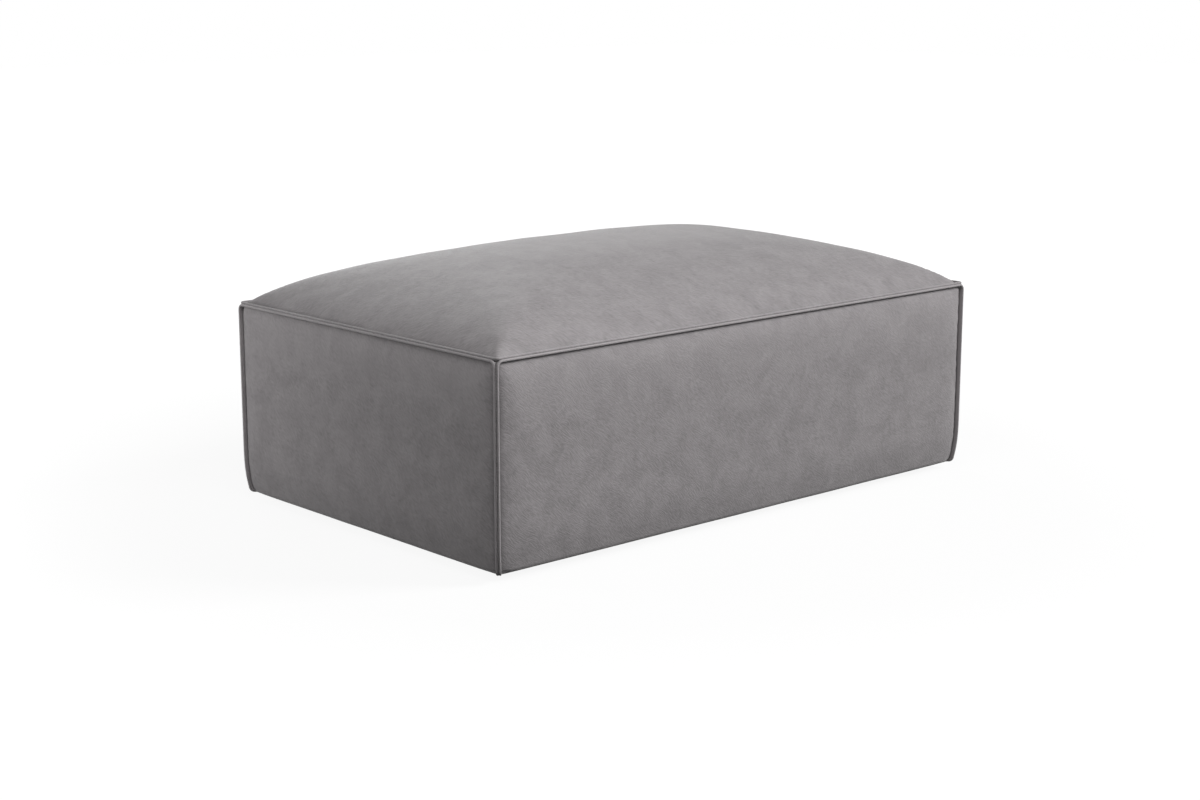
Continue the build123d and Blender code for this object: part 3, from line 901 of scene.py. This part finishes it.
@dataclass(frozen=True)
class PaintedLightMarks:
    """How strongly shade and highlights are painted into the velvet's colour in places, set from the photo."""

    # Painted shade in the grooves of the long and short sides' top seams and of the far upright seams; painted
    # highlight on the far lips.
    long_top: float = 0.40
    short_top: float = 0.85
    far_upright: float = 0.42
    far_lip_highlight: float = 0.7
    corner_rings: int = 8
    hem_calm: float = 0.6
    # Painted shade towards the floor and towards the bottom of each wall.
    floor_shade: float = 0.26
    floor_reach: float = 0.030
    lower_wall_shade: float = 0.10
    base_top: float = 0.120
    base_run: float = 0.110
    # Painted highlight band under the top seam, calmed at the near corner.
    highlight_band: float = 0.46
    band_drop: float = 0.125
    band_run: float = 0.085
    band_calm: float = 0.8
    # Painted highlights on the top panel's lips and on its crown.
    top_lip_highlight: float = 0.35
    crown: float = 0.42
    crown_from: float = 0.084
    crown_run: float = 0.013


@dataclass
class Cover:
    """The fitted velvet cover: a crowned top and four side panels with two-ply seam lips."""

    swells: dict[str, Swell]
    thickness: float = 0.0019
    pitch: float = 0.0055
    side_corner: float = 0.009
    top_corner: float = 0.005
    side_face: Unevenness = Unevenness(0.16, 0.05, 0.021, 0.011, 0.014)
    top_face: Unevenness = Unevenness(0.13, 0.06, 0.020, 0.012, 0.016)
    # Strengths of the painted shade and painted highlights.
    pile: PaintedLightMarks = PaintedLightMarks()
    bow_start: float = 0.02
    bow_rise: float = 0.12
    bow_end: float = 0.03
    bow_fall: float = 0.15
    lining_inset: float = 0.0068
    top_lining_inset: float = 0.0070
    lining_run: float = 0.0036
    lining_root: float = 0.0062
    top_lining_root: float = 0.0064
    top_stretch: float = 1.1
    hem_narrowing: float = 0.0016
    seed: int = 11
    gather_seed: int = 31
    top_seeds: tuple[int, int] = (5, 6)
    map_step: Place = (0.37, 0.11)
    top_map: Place = (3.1, 1.7)

    def side_panel(self, side: Side) -> Thing:
        """One side panel, turned under the base.

        Args:
            side: Which side of the footstool it covers.

        Returns:
            The closed panel.
        """
        wall = Wall(side, self.pitch, self.side_corner)
        past_wall = wall.ring >= LIP.floor
        x, height, seed = wall.along(wall.across), wall.height, self.seed + side.value
        seeds = seed, self.gather_seed + side.value
        uneven = self.side_face.push(seeds, x, height, np.minimum(wall.across, wall.down))
        swells = self.swells["front" if side.wide else "left"]
        swell = swells.at(x if side in (Side.FRONT, Side.RIGHT) else -x, wall.path_z)
        push = np.where(past_wall, self.bow(wall, x) + swell + uneven, 0) * (1 - wall.fade)
        lift = np.minimum(FORM.face_inset - wall.depth + push, FORM.face_inset)
        outer = wall.points(wall.across, lift)
        uv = np.stack([x, np.broadcast_to(-wall.drop[:, None], x.shape)], -1) + np.multiply(self.map_step, seed)
        return MeshMaker.shell(
            f"velvet_{side.word}", MeshMaker.turned(outer, side),
            MeshMaker.turned(self.lining(wall, lift), side), uv=uv, marks=self.side_painted_light(wall, outer[..., 2]),
        )

    def bow(self, wall: Wall, x: Grid) -> Grid:
        """How far the filling pushes a side panel out, between its seams and its bottom edge."""
        up = ramp(wall.height, FORM.floor_gap + self.bow_start, self.bow_rise)
        up = up * ramp(wall.height, FORM.seam_top + self.bow_end, -self.bow_fall)
        share = 1 - np.clip(np.abs(x) / wall.half_along, 0, 1) ** 2
        return FORM.face_bulge * share * up * wall.upright

    def lining(self, wall: Wall, lift: Grid) -> Grid:
        """The inner face of a side panel, which passes under the beads without following them."""
        under_lip = wall.ring <= LIP.floor
        inside = np.clip(wall.ring / (LIP.floor + 1), 0, 1)
        run = self.lining_run * inside
        narrow = self.lining_inset + run * (1 - wall.fade) - self.hem_narrowing * wall.fade
        root = self.lining_root + (LIP.groove_depth + self.thickness - self.lining_root) * inside
        flattened = under_lip & (wall.fade < 0.5)
        pressed = np.where(flattened, FORM.face_inset - root, lift - self.thickness)
        inner = wall.points(np.maximum(wall.across, narrow), pressed)
        limit = np.where(under_lip, FORM.seam_top - self.lining_inset - run, FORM.seam_top)
        inner[..., 2] = np.minimum(inner[..., 2], limit)
        return inner

    def side_painted_light(self, wall: Wall, z: Grid) -> dict[str, Grid]:
        """Painted shade in the grooves and low down, painted highlights on the lips and under the top seam.

        The painted shade in the upright grooves is deepest at the corner between the front and the left side,
        the corner nearest the camera.
        """
        near = {Side.FRONT: wall.hand < 0, Side.LEFT: wall.hand > 0}.get(wall.side, wall.hand == 0)
        pile, ring = self.pile, wall.ring
        upright = np.clip((wall.station_z - wall.station_x) / pile.corner_rings, 0, 1)
        far = upright * ~near
        top_share = pile.long_top if wall.side.wide else pile.short_top
        # Painted shade in the grooves, of a different strength on each side and deepest at the near corner.
        groove = LIP.mark(ring, LIP.groove_shade_marks, LIP.floor - 1)
        groove = groove * (top_share + (pile.far_upright - top_share) * far)
        near_groove_shade = LIP.mark(ring, LIP.near_corner_shade_marks, LIP.floor - 1)
        groove = (groove + (near_groove_shade - groove) * upright * near) * (1 - pile.hem_calm * wall.fade)
        # Painted shade low down: darker towards the floor and towards the bottom of each wall.
        low = ramp(z, pile.floor_reach, -pile.floor_reach) * pile.floor_shade
        low = low + ramp(z, pile.base_top, -pile.base_run) * pile.lower_wall_shade
        # Painted highlight on the lips, stronger on the far upright lips.
        painted_highlight = LIP.mark(ring, LIP.lip_highlight_marks, 1) * (1 - wall.fade) * (1 + pile.far_lip_highlight * far)
        # Painted highlight: a lighter band under the top seam, weaker beside the near corner.
        calm = 1 - pile.band_calm * upright * near * (ring < LIP.count)
        highlight_band = pile.highlight_band * smooth(ramp(z, FORM.seam_top - pile.band_drop, pile.band_run))
        nap_map_or_highlight = highlight_band * (ring >= LIP.floor) * calm
        return {"groove": np.maximum(groove, low), "painted_highlight": np.maximum(painted_highlight, nap_map_or_highlight)}

    def top_panel(self) -> Thing:
        """The crowned top panel."""
        lines_x, stations_x = edge_lines(2 * FORM.half_length, self.pitch)
        lines_y, stations_y = edge_lines(2 * FORM.half_depth, self.pitch)
        ring = np.minimum(*np.meshgrid(stations_x, stations_y))
        across, down = rounded(*np.meshgrid(lines_x, lines_y), ring, self.top_corner)
        hand_x, hand_y = halved(lines_x)[None, :], halved(lines_y)[:, None]
        x = hand_x * (FORM.half_length - across)
        y = hand_y * (FORM.half_depth - down)
        base = FORM.seam_top - LIP.groove_depth
        rise = FORM.seam_top + FORM.crown_rise - base
        uneven = self.top_face.push(self.top_seeds, x, y, np.minimum(across, down))
        push = np.where(ring > LIP.floor, self.swells["top"].at(x, y) + uneven, 0)
        crown = base + rise * FORM.crown_share(x, y, LIP.groove_place) + push
        on_lip = ring <= LIP.floor
        z = np.where(on_lip, FORM.seam_top - LIP.depth[np.minimum(ring, LIP.count - 1)], crown)
        inside = np.clip(ring / (LIP.floor + 1), 0, 1)
        narrow = np.where(ring <= LIP.floor + 3, self.top_lining_inset + self.lining_run * inside, 0)
        inner_x = hand_x * (FORM.half_length - np.maximum(across, narrow))
        inner_y = hand_y * (FORM.half_depth - np.maximum(down, narrow))
        depth = LIP.groove_depth + self.thickness - self.top_lining_root
        root = FORM.seam_top - self.top_lining_root - depth * inside
        inner_z = np.where(on_lip, root, z - self.thickness * self.top_stretch)
        uv = np.stack([x, y], -1) + self.top_map
        # Painted highlights on the top's lips and on its crown; painted shade in its grooves.
        painted_highlight = self.pile.top_lip_highlight * LIP.mark(ring, LIP.lip_highlight_marks, 1)
        crown_highlight = self.pile.crown * smooth(ramp(z, FORM.seam_top + self.pile.crown_from, self.pile.crown_run))
        marks = {"groove": LIP.mark(ring, LIP.groove_shade_marks, LIP.floor - 1), "painted_highlight": np.maximum(painted_highlight, crown_highlight)}
        outer, inner = np.stack([x, y, z], -1), np.stack([inner_x, inner_y, inner_z], -1)
        return MeshMaker.shell("velvet_top", outer, inner, uv=uv, marks=marks)

    def make(self, velvet: Material) -> list[Thing]:
        """Make all panels and attach them to the root body.

        Args:
            velvet: The velvet material.

        Returns:
            The panels.
        """
        made = []
        for side in Side:
            panel = self.side_panel(side)
            dress(panel, velvet)
            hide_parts(f"cover_{side.word}")
            log.info("side panel %s, %s", side.word, "long" if side.wide else "short")
            made.append(panel)
        top = self.top_panel()
        dress(top, velvet)
        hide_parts("cover_top")
        made.append(top)
        log.info("crowned top panel")
        for panel in made:
            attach(panel, "root")
        return made


def dress(thing: Thing, material: Material) -> None:
    """Give a piece one material."""
    thing.data.materials.clear()
    thing.data.materials.append(material)


@dataclass
class Filling:
    """The hidden soft layers: crown foam, wadding, core, side pads and spring felt."""

    top_swell: Swell
    gap: float = 0.0003
    skin: float = 0.0036
    crown_depth: float = 0.0116
    wadding_depth: float = 0.0026
    wadding_thickness: float = 0.0074
    cap_pitch: float = 0.014
    cap_corner: float = 0.014
    cap_draw_in: float = 0.985
    cap_steps: tuple[float, ...] = (0.0010, 0.0017, 0.0026, 0.0039)
    cap_shoulder: tuple[float, ...] = (0.0, 0.006, 0.014)
    cap_rises: tuple[float, ...] = (0.0, 0.30, 0.58, 0.86, 1.0)
    cap_ease: float = 0.0010
    corner_share: float = 0.293
    rim_share: float = 1.35
    rim_fall: float = 0.3
    seam_root: float = 0.0116
    root_slope: float = 0.9
    block_pitch: float = 0.03
    pad_back: float = 0.0160
    pad_back_gaps: Place = (0.0008, 0.0004)
    pad_end: float = 0.0100
    pad_middle: float = 0.042
    pad_pitch: float = 0.012
    pad_rows: int = 22
    pad_foot: float = 0.002
    pad_turns: tuple[float, ...] = (0, 20, 40, 60, 78)
    pad_spread: tuple[float, ...] = (0.0, 0.0012, 0.003, 0.006, 0.011, 0.018, 0.028)
    pad_round: float = 0.0046
    pad_round_run: float = 0.011

    def cap(self, name: str, depth: float, thickness: float | None) -> Thing:
        """A layer over the core that follows the crown from inside.

        Args:
            name: Name of the piece.
            depth: How far under the cover's faces it starts.
            thickness: The layer's own thickness, or None for a solid pad on the core.

        Returns:
            The closed piece.
        """
        outer = self.dome(depth)
        if thickness is not None:
            return MeshMaker.shell(name, outer, self.dome(depth + thickness))
        inner = outer * (self.cap_draw_in, self.cap_draw_in, 1)
        inner[..., 2] = FORM.core_top + self.gap
        return MeshMaker.shell(name, outer, inner)

    def dome(self, depth: float) -> Grid:
        """Grid over the crown whose first rows run up from the core's top and round under the seam."""
        wall = FORM.face_inset + depth
        root = self.seam_root + (depth - self.wadding_depth) * self.root_slope
        steps = np.array([*self.cap_steps, *(root - wall + step for step in self.cap_shoulder)])
        bottom = FORM.core_top + self.gap
        ups = bottom + (FORM.seam_top - root - bottom) * np.array(self.cap_rises)
        half_x, half_y = FORM.half_length - wall, FORM.half_depth - wall
        in_x, number_x = self.lines(steps, half_x, int(2 * FORM.half_length / self.cap_pitch))
        in_y, number_y = self.lines(steps, half_y, int(2 * FORM.half_depth / self.cap_pitch))
        a, b = np.meshgrid(in_x, in_y)
        ring = np.minimum(*np.meshgrid(number_x, number_y))
        radius = np.maximum(self.cap_corner - np.minimum(a, b), 0)
        push = radius * self.corner_share * np.clip(1 - np.abs(a - b) / np.maximum(radius, TINY), 0, 1)
        x = halved(in_x)[None, :] * (half_x - (a + push))
        y = halved(in_y)[:, None] * (half_y - (b + push))
        share = FORM.crown_share(x, y, LIP.groove_place)
        base = FORM.seam_top - LIP.groove_depth
        under = depth * (self.rim_share - self.rim_fall * share)
        crown = base + (FORM.crown_rise + LIP.groove_depth) * share - under
        crown = crown + np.where(ring > len(ups), self.top_swell.at(x, y) - self.cap_ease, 0)
        rising = np.minimum(ups[np.minimum(ring, len(ups) - 1)], crown)
        return np.stack([x, y, np.where(ring < len(ups), rising, crown)], -1)

    @staticmethod
    def lines(steps: Grid, half: float, count: int) -> tuple[Grid, Grid]:
        """Distances of a grid's lines from the nearer box side, close steps first, and their rings."""
        inner = np.linspace(steps[-1], 2 * half - steps[-1], count + 1)[1:-1]
        places = np.concatenate([steps, np.minimum(inner, 2 * half - inner), steps[::-1]])
        order = np.arange(len(places))
        return places, np.minimum(np.minimum(order, order[::-1]), len(steps))

    def side_pad(self, side: Side) -> Thing:
        """Foam pad between a side panel and the frame's board, rounded under the seams and the bottom edge."""
        half_along, half_out = side.halves
        turns = np.radians(self.pad_turns)
        z_face = np.linspace(FORM.core_top - self.gap, FORM.bend + self.pad_foot, self.pad_rows)
        soft = FORM.bottom_radius - self.skin
        z = np.concatenate([z_face, FORM.bend - soft * np.sin(turns)])[:, None]
        inset_face = FORM.face_inset + FORM.tuck(z_face) + self.skin
        start = FORM.face_inset + FORM.bottom_tuck + self.skin
        inset = np.concatenate([inset_face, start + soft * (1 - np.cos(turns))])[:, None]
        even = half_along - self.pad_middle
        middle = np.linspace(-even, even, int(half_along / self.pad_pitch))
        from_end = half_along - np.abs(middle) - self.pad_end
        from_end = np.concatenate([self.pad_spread, from_end, self.pad_spread[::-1]])
        edge = inset - FORM.face_inset - self.skin
        u = from_end[None, :] + np.minimum(self.pad_end + edge, self.pad_back - self.pad_back_gaps[0])
        x = halved(from_end)[None, :] * (half_along - u)
        away = self.pad_round * np.exp(-from_end / self.pad_round_run)[None, :]
        depth = np.minimum(inset + away, self.pad_back - self.pad_back_gaps[1])
        height = np.broadcast_to(z, x.shape)
        outer = np.stack([x, -half_out + depth, height], -1)
        limit = half_along - self.pad_back
        back = np.full_like(x, -half_out + self.pad_back)
        inner = np.stack([np.clip(x, -limit, limit), back, height], -1)
        return MeshMaker.shell(
            f"pad_side_{side.word}", MeshMaker.turned(outer, side), MeshMaker.turned(inner, side)
        )

    def block(self, name: str, low: Vector, high: Vector, soft: float) -> Thing:
        """A foam block or felt that fills a box.

        Args:
            name: Name of the piece.
            low: Lowest corner.
            high: Highest corner.
            soft: Radius of its edges.

        Returns:
            The closed block.
        """
        low, high = np.array(low), np.array(high)
        size = high - low
        along, across, up = np.argsort(-size)

        def shares(axis: int) -> Grid:
            """Places of the lines along an axis, closer towards the ends."""
            even = np.linspace(0, 1, max(3, int(size[axis] / self.block_pitch)))
            return (1 - np.cos(even * np.pi)) / 4 + even * 0.5

        a, b = np.meshgrid(shares(along), shares(across))

        def face(level: float, shrink: float) -> Grid:
            """A level net, drawn in from the box sides."""
            net = np.zeros(a.shape + (3,))
            for axis, share in ((along, a), (across, b)):
                net[..., axis] = low[axis] + shrink + share * (size[axis] - 2 * shrink)
            net[..., up] = level
            return net

        floor, roof = low[up], high[up]
        cut = soft * (1 - math.sin(math.radians(45)))
        levels = ((roof - cut, cut), (roof - soft, 0.0), (floor + soft, 0.0), (floor + cut, cut))
        rim = MeshMaker.rim(*a.shape)
        rings = [face(level, shrink).reshape(-1, 3)[rim] for level, shrink in levels]
        return MeshMaker.shell(name, face(roof, soft), face(floor, soft), skirts=rings)

    def make(self, foam: Material, firm: Material, fluff: Material, felt: Material) -> list[Thing]:
        """Make every hidden layer and attach it to the root body.

        Args:
            foam: Soft foam of the crown.
            firm: Firm foam of the core and the side pads.
            fluff: Wadding.
            felt: Spring felt.

        Returns:
            The pieces.
        """
        crown = self.cap("crown_pad", self.crown_depth, None)
        made = [self.settle(crown, foam, "crown_foam")]
        wadding = self.cap("wadding_layer", self.wadding_depth, self.wadding_thickness)
        made.append(self.settle(wadding, fluff, "crown_wadding"))
        core = self.block("pad_core", *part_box("seat_foam_core"), 0.003)
        made.append(self.settle(core, firm, "seat_foam_core"))
        for side in Side:
            made.append(self.settle(self.side_pad(side), firm, f"side_foam_{side.word}"))
        blanket = self.block("felt_blanket", *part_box("spring_felt"), 0.0012)
        dress(blanket, felt)
        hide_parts("spring_felt")
        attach(blanket, "root")
        made.append(blanket)
        log.info("hidden filling: %d pieces", len(made))
        return made

    def settle(self, piece: Thing, material: Material, node: str) -> Thing:
        """Dress one padded piece, hide its imported node and attach it to the root body."""
        dress(piece, material)
        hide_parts(node)
        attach(piece, "root")
        return piece


@dataclass
class DustCloth:
    """Thin dark cloth tacked under the base, drawn up a little towards its middle."""

    thickness: float = 0.0007
    pitch: float = 0.011
    clearance: float = 0.0001
    ripple: float = 0.00035
    ripple_share: float = 0.3
    ripple_length: float = 0.09
    ripple_run: float = 0.05
    draw_up: float = 0.0004
    draw_from: float = 0.03
    draw_run: float = 0.16
    seed: int = 71

    def make(self, cloth: Material) -> Thing:
        """Args:
            cloth: The cloth's material.

        Returns:
            The sheet.
        """
        low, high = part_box("dust_cover")
        nx = int((high.x - low.x) / self.pitch)
        ny = int((high.y - low.y) / self.pitch)
        x, y = np.meshgrid(np.linspace(low.x, high.x, nx), np.linspace(low.y, high.y, ny))
        edge = Stuffing.from_rim(x, y, low, high)
        folds = Ripple(self.seed, self.ripple_length)(x, y) * self.ripple
        folds = folds * np.clip(edge / self.ripple_run, 0, 1)
        rise = self.draw_up * ramp(edge, self.draw_from, self.draw_run)
        z = low.z + self.clearance + folds * self.ripple_share + rise
        upper = np.minimum(high.z, z + self.thickness)
        sheet = MeshMaker.shell("dust_cloth", np.stack([x, y, upper], -1), np.stack([x, y, z], -1))
        dress(sheet, cloth)
        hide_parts("dust_cover")
        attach(sheet, "root")
        log.info("dust cloth under the base")
        return sheet


@dataclass
class SeamThread:
    """Lockstitches that hold the two plies of each lip, seen only in the crease between the beads."""

    spacing: float = 0.0042
    length: float = 0.0030
    radius: float = 0.00032
    seed: int = 4
    inset: float = 0.0040
    corner: float = 0.012
    straight_to: float = 0.1
    low: float = 0.034
    bend: float = 0.03
    sizes: Place = (0.85, 1.05)

    def paths(self) -> list[list[Point]]:
        """Lines along the crease of the eight seams."""
        x, y = FORM.half_length - self.inset, FORM.half_depth - self.inset
        top, turn = FORM.seam_top - self.inset, self.corner
        drops = [(top - turn, 0.0), (self.straight_to, 0.0)]
        for z in (self.low + self.bend, self.low):
            drops.append((z, float(FORM.tuck(np.array(z)))))
        lines = []
        for sx in (-1, 1):
            lines.append([(sx * x, -y + turn, top), (sx * x, y - turn, top)])
            for sy in (-1, 1):
                lines.append([(sx * (x - tuck), sy * (y - tuck), z) for z, tuck in drops])
        for sy in (-1, 1):
            lines.append([(-x + turn, sy * y, top), (x - turn, sy * y, top)])
        return lines

    def tree(self, material: Material) -> bpy.types.NodeTree:
        """Geometry nodes that set a stitch at every spacing along a line."""
        tree = bpy.data.node_groups.new("seam_stitches", "GeometryNodeTree")
        floats = dict.fromkeys(("Spacing", "Length", "Radius"), "Float")
        for word, kind in {"Geometry": "Geometry", **floats, "Seed": "Int"}.items():
            tree.interface.new_socket(word, in_out="INPUT", socket_type=f"NodeSocket{kind}")
        tree.interface.new_socket("Geometry", in_out="OUTPUT", socket_type="NodeSocketGeometry")
        n = Nodes(tree)
        given = n.add("NodeGroupInput").outputs
        curve = n.add("GeometryNodeMeshToCurve", Mesh=given["Geometry"])
        even = n.add(
            "GeometryNodeResampleCurve", mode="LENGTH", Curve=curve.outputs[0], Length=given["Spacing"]
        )
        tangent = n.add("GeometryNodeInputTangent").outputs[0]
        aim = n.add("FunctionNodeAlignRotationToVector", axis="Z", Vector=tangent)
        ball = n.add("GeometryNodeMeshUVSphere", Segments=6, Rings=4, Radius=1.0)
        half = n.maths("MULTIPLY", given["Length"], 0.5)
        size = n.add("ShaderNodeCombineXYZ", X=given["Radius"], Y=given["Radius"], Z=half)
        vary = n.add("FunctionNodeRandomValue", data_type="FLOAT", Seed=given["Seed"])
        vary.inputs[2].default_value, vary.inputs[3].default_value = self.sizes
        place = n.add(
            "GeometryNodeInstanceOnPoints", Points=even.outputs[0], Instance=ball.outputs["Mesh"],
            Rotation=aim.outputs[0], Scale=n.scaled(size.outputs[0], vary.outputs[1]),
        )
        real = n.add("GeometryNodeRealizeInstances", Geometry=place.outputs[0])
        paint = n.add("GeometryNodeSetMaterial", Geometry=real.outputs[0], Material=material)
        n.add("NodeGroupOutput", Geometry=paint.outputs[0])
        return tree

    def make(self, thread: Material) -> Thing:
        """Lay the stitches and bake them to a plain mesh.

        Args:
            thread: The thread's material.

        Returns:
            The baked stitches.
        """
        points, edges = [], []
        for line in self.paths():
            start = len(points)
            points += line
            edges += [(start + k, start + k + 1) for k in range(len(line) - 1)]
        guide_mesh = bpy.data.meshes.new("seam_lines")
        guide_mesh.from_pydata(points, edges, [])
        guide = MeshMaker.link("seam_lines", guide_mesh)
        modifier = guide.modifiers.new("stitches", "NODES")
        modifier.node_group = self.tree(thread)
        values = {"Spacing": self.spacing, "Length": self.length, "Radius": self.radius, "Seed": self.seed}
        for item in modifier.node_group.interface.items_tree:
            if item.in_out == "INPUT" and item.name in values:
                modifier[item.identifier] = values[item.name]
        baked = bpy.data.meshes.new_from_object(guide.evaluated_get(bpy.context.evaluated_depsgraph_get()))
        guide.modifiers.clear()
        bpy.data.objects.remove(guide)
        baked.name = "seam_thread"
        thing = MeshMaker.finish("seam_thread", baked)
        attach(thing, "root")
        log.info("seam stitches: %d faces", len(baked.polygons))
        return thing


@dataclass
class Carcass:
    """The timber frame, boards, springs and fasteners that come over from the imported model."""

    lengthwise: tuple[str, ...] = (
        "bottom_rail_front", "bottom_rail_back", "spring_rail_front", "spring_rail_back"
    )
    crosswise: tuple[str, ...] = (
        "bottom_rail_left", "bottom_rail_right", "end_rail_left", "end_rail_right",
        "centre_stretcher", "bottom_bearer_left", "bottom_bearer_right",
    )

    def make(
        self, timber: Sequence[Material], board: Material, spring: Material, zinc: Material, plastic: Material
    ) -> None:
        """Give every kept node its material.

        Args:
            timber: Timber with grain along X, Y and Z.
            board: Pressed board.
            spring: Spring wire.
            zinc: Plated fasteners.
            plastic: Glides.
        """
        words = {
            **dict.fromkeys(self.lengthwise, timber[0]), **dict.fromkeys(self.crosswise, timber[1]),
            "corner_post": timber[2], "mid_post": timber[2], "side_board": board, "zigzag_spring": spring,
            "stay_wire": spring, "glide": plastic, "spring_clips": zinc,
        }
        for name, node in sorted(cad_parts.items()):
            found = [zinc] if name.endswith(("staples", "screws", "nails")) else []
            found += [material for word, material in words.items() if name.startswith(word)]
            if found:
                dress(node, found[0])
                log.info("%s: %s", name, found[0].name)


@dataclass
class Studio:
    """Pale floor that glows less near the footstool, soft lights and the photo's camera."""

    eye: Point = (-2.3543, -2.5755, 0.8984)
    yaw: float = 0.7346
    pitch: float = 0.2115
    lens: float = 61.2
    world_level: float = 0.230
    floor_half: float = 14.0
    floor_colour: Colour = (0.08, 0.08, 0.08)
    glow_near: Place = (0.8, 0.91)
    glow_far: Place = (1.9, 1.0)
    open_inset: float = 0.08

    def camera(self) -> None:
        """The camera of the photograph."""
        data = bpy.data.cameras.new("photo_camera")
        data.lens = self.lens
        data.sensor_width = 36.0
        data.sensor_fit = "HORIZONTAL"
        data.clip_end = 60
        thing = MeshMaker.link("photo_camera", data)
        thing.location = self.eye
        thing.rotation_euler = (math.pi / 2 - self.pitch, 0, -self.yaw)
        bpy.context.scene.camera = thing

    def light(self, name: str, place: Point, aim: Point, size: float, power: float) -> None:
        """A square soft light that looks at a point."""
        data = bpy.data.lights.new(name, "AREA")
        data.shape = "SQUARE"
        data.size = size
        data.energy = power
        thing = MeshMaker.link(name, data)
        thing.location = place
        thing.rotation_euler = (Vector(aim) - Vector(place)).to_track_quat("-Z", "Y").to_euler()

    def world(self) -> None:
        """A plain world that lights softly and looks white."""
        world = bpy.data.worlds.new("studio")
        world.use_nodes = True
        n = Nodes(world.node_tree)
        lit = n.add("ShaderNodeBackground", Strength=self.world_level).outputs[0]
        white = n.add("ShaderNodeBackground", Strength=1.0, Color=(1, 1, 1)).outputs[0]
        n.add("ShaderNodeOutputWorld", Surface=n.between(n.seen(), lit, white))
        bpy.context.scene.world = world

    def unseen_part(self, n: Nodes, where: Socket) -> Socket:
        """1 on the floor's underside and under the footstool's middle, to show the base from below."""
        split = n.add("ShaderNodeSeparateXYZ", Vector=where).outputs
        inside = [
            n.maths("LESS_THAN", n.maths("ABSOLUTE", split[word]), half - self.open_inset)
            for word, half in (("X", FORM.half_length), ("Y", FORM.half_depth))
        ]
        below = n.add("ShaderNodeNewGeometry").outputs["Backfacing"]
        return n.maths("MAXIMUM", below, n.maths("MULTIPLY", *inside))

    def floor(self) -> None:
        """A wide pale floor that keeps the object's soft shadow."""
        half = self.floor_half
        mesh = bpy.data.meshes.new("floor")
        corners = [(-half, -half, 0), (half, -half, 0), (half, half, 0), (-half, half, 0)]
        mesh.from_pydata(corners, [], [(0, 1, 2, 3)])
        thing = MeshMaker.link("floor", mesh)
        material = bpy.data.materials.new("pale_floor")
        material.use_nodes = True
        n = Nodes(material.node_tree)
        where = n.add("ShaderNodeTexCoord").outputs["Object"]
        reach = n.add("ShaderNodeVectorMath", operation="LENGTH", Vector=where).outputs["Value"]
        (near, near_level), (far, far_level) = self.glow_near, self.glow_far
        level = n.add(
            "ShaderNodeMapRange", Value=reach, From_Min=near, From_Max=far, To_Min=near_level, To_Max=far_level
        ).outputs[0]
        glow = n.add("ShaderNodeEmission", Strength=n.maths("MULTIPLY", n.seen(), level)).outputs[0]
        plain = n.add("ShaderNodeBsdfDiffuse", Color=self.floor_colour).outputs[0]
        both = n.joined("ShaderNodeAddShader", plain, glow)
        clear = n.add("ShaderNodeBsdfTransparent").outputs[0]
        open_floor = n.between(self.unseen_part(n, where), both, clear)
        n.add("ShaderNodeOutputMaterial", Surface=open_floor)
        dress(thing, material)

    def make(self) -> None:
        """Set up the whole stage."""
        self.camera()
        self.world()
        self.floor()
        self.light("key_right", (4.59, -4.26, 3.58), (0, 0, 0.25), 2.6, 540)
        self.light("top_left", (-0.82, -0.80, 1.31), (0, 0, 0.4), 0.9, 6.0)
        self.light("left_far", (-1.35, 0.78, 0.35), (-0.54, 0.30, 0.22), 0.5, 5.8)
        self.light("fill", (-3.6, -4.0, 2.47), (0, 0, 0.25), 2.0, 21)
        self.light("behind", (1.2, 4.8, 1.9), (0, 0, 0.2), 1.8, 45)
        settings = bpy.context.scene.view_settings
        settings.view_transform = "Standard"
        log.info("stage, lights and camera")


def write_sizes() -> None:
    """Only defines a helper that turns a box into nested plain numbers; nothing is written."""
    def plain(box: Iterable) -> list:
        """Nested plain numbers of a box."""
        return [[float(v) for v in corner] for corner in box]


def main() -> None:
    """Build every sub-assembly in order."""
    logging.basicConfig(level=logging.INFO, format="%(message)s")
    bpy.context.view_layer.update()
    Studio().make()
    velvet = VelvetFinish().build()
    swells = Stuffing().all_swells()
    Cover(swells).make(velvet)
    Filling(swells["top"]).make(
        ClothFinish("soft_foam", (0.80, 0.74, 0.52), 0.0018, 0.0004, 0.82).build(),
        ClothFinish("firm_foam", (0.62, 0.68, 0.74), 0.0014, 0.0004, 0.82).build(),
        ClothFinish("white_wadding", (0.85, 0.85, 0.83), 0.0040, 0.0012, 0.88).build(),
        ClothFinish("grey_felt", (0.22, 0.21, 0.20), 0.0012, 0.0004, 0.55).build(),
    )
    DustCloth().make(ClothFinish("dust_cloth", (0.020, 0.020, 0.022), 0.0016, 0.0002, 0.55, 0.2).build())
    SeamThread().make(ClothFinish("grey_thread", (0.16, 0.15, 0.155), 0.0006, 0.0001, 0.6).build())
    Carcass().make(
        [TimberFinish(along=axis).build() for axis in range(3)],
        BoardFinish().build(),
        MetalFinish("spring_wire", (0.36, 0.36, 0.38), 0.42).build(),
        MetalFinish("zinc_plate", (0.62, 0.63, 0.66), 0.36).build(),
        MouldedFinish().build(),
    )
    write_sizes()


if __name__ == "__main__":
    main()
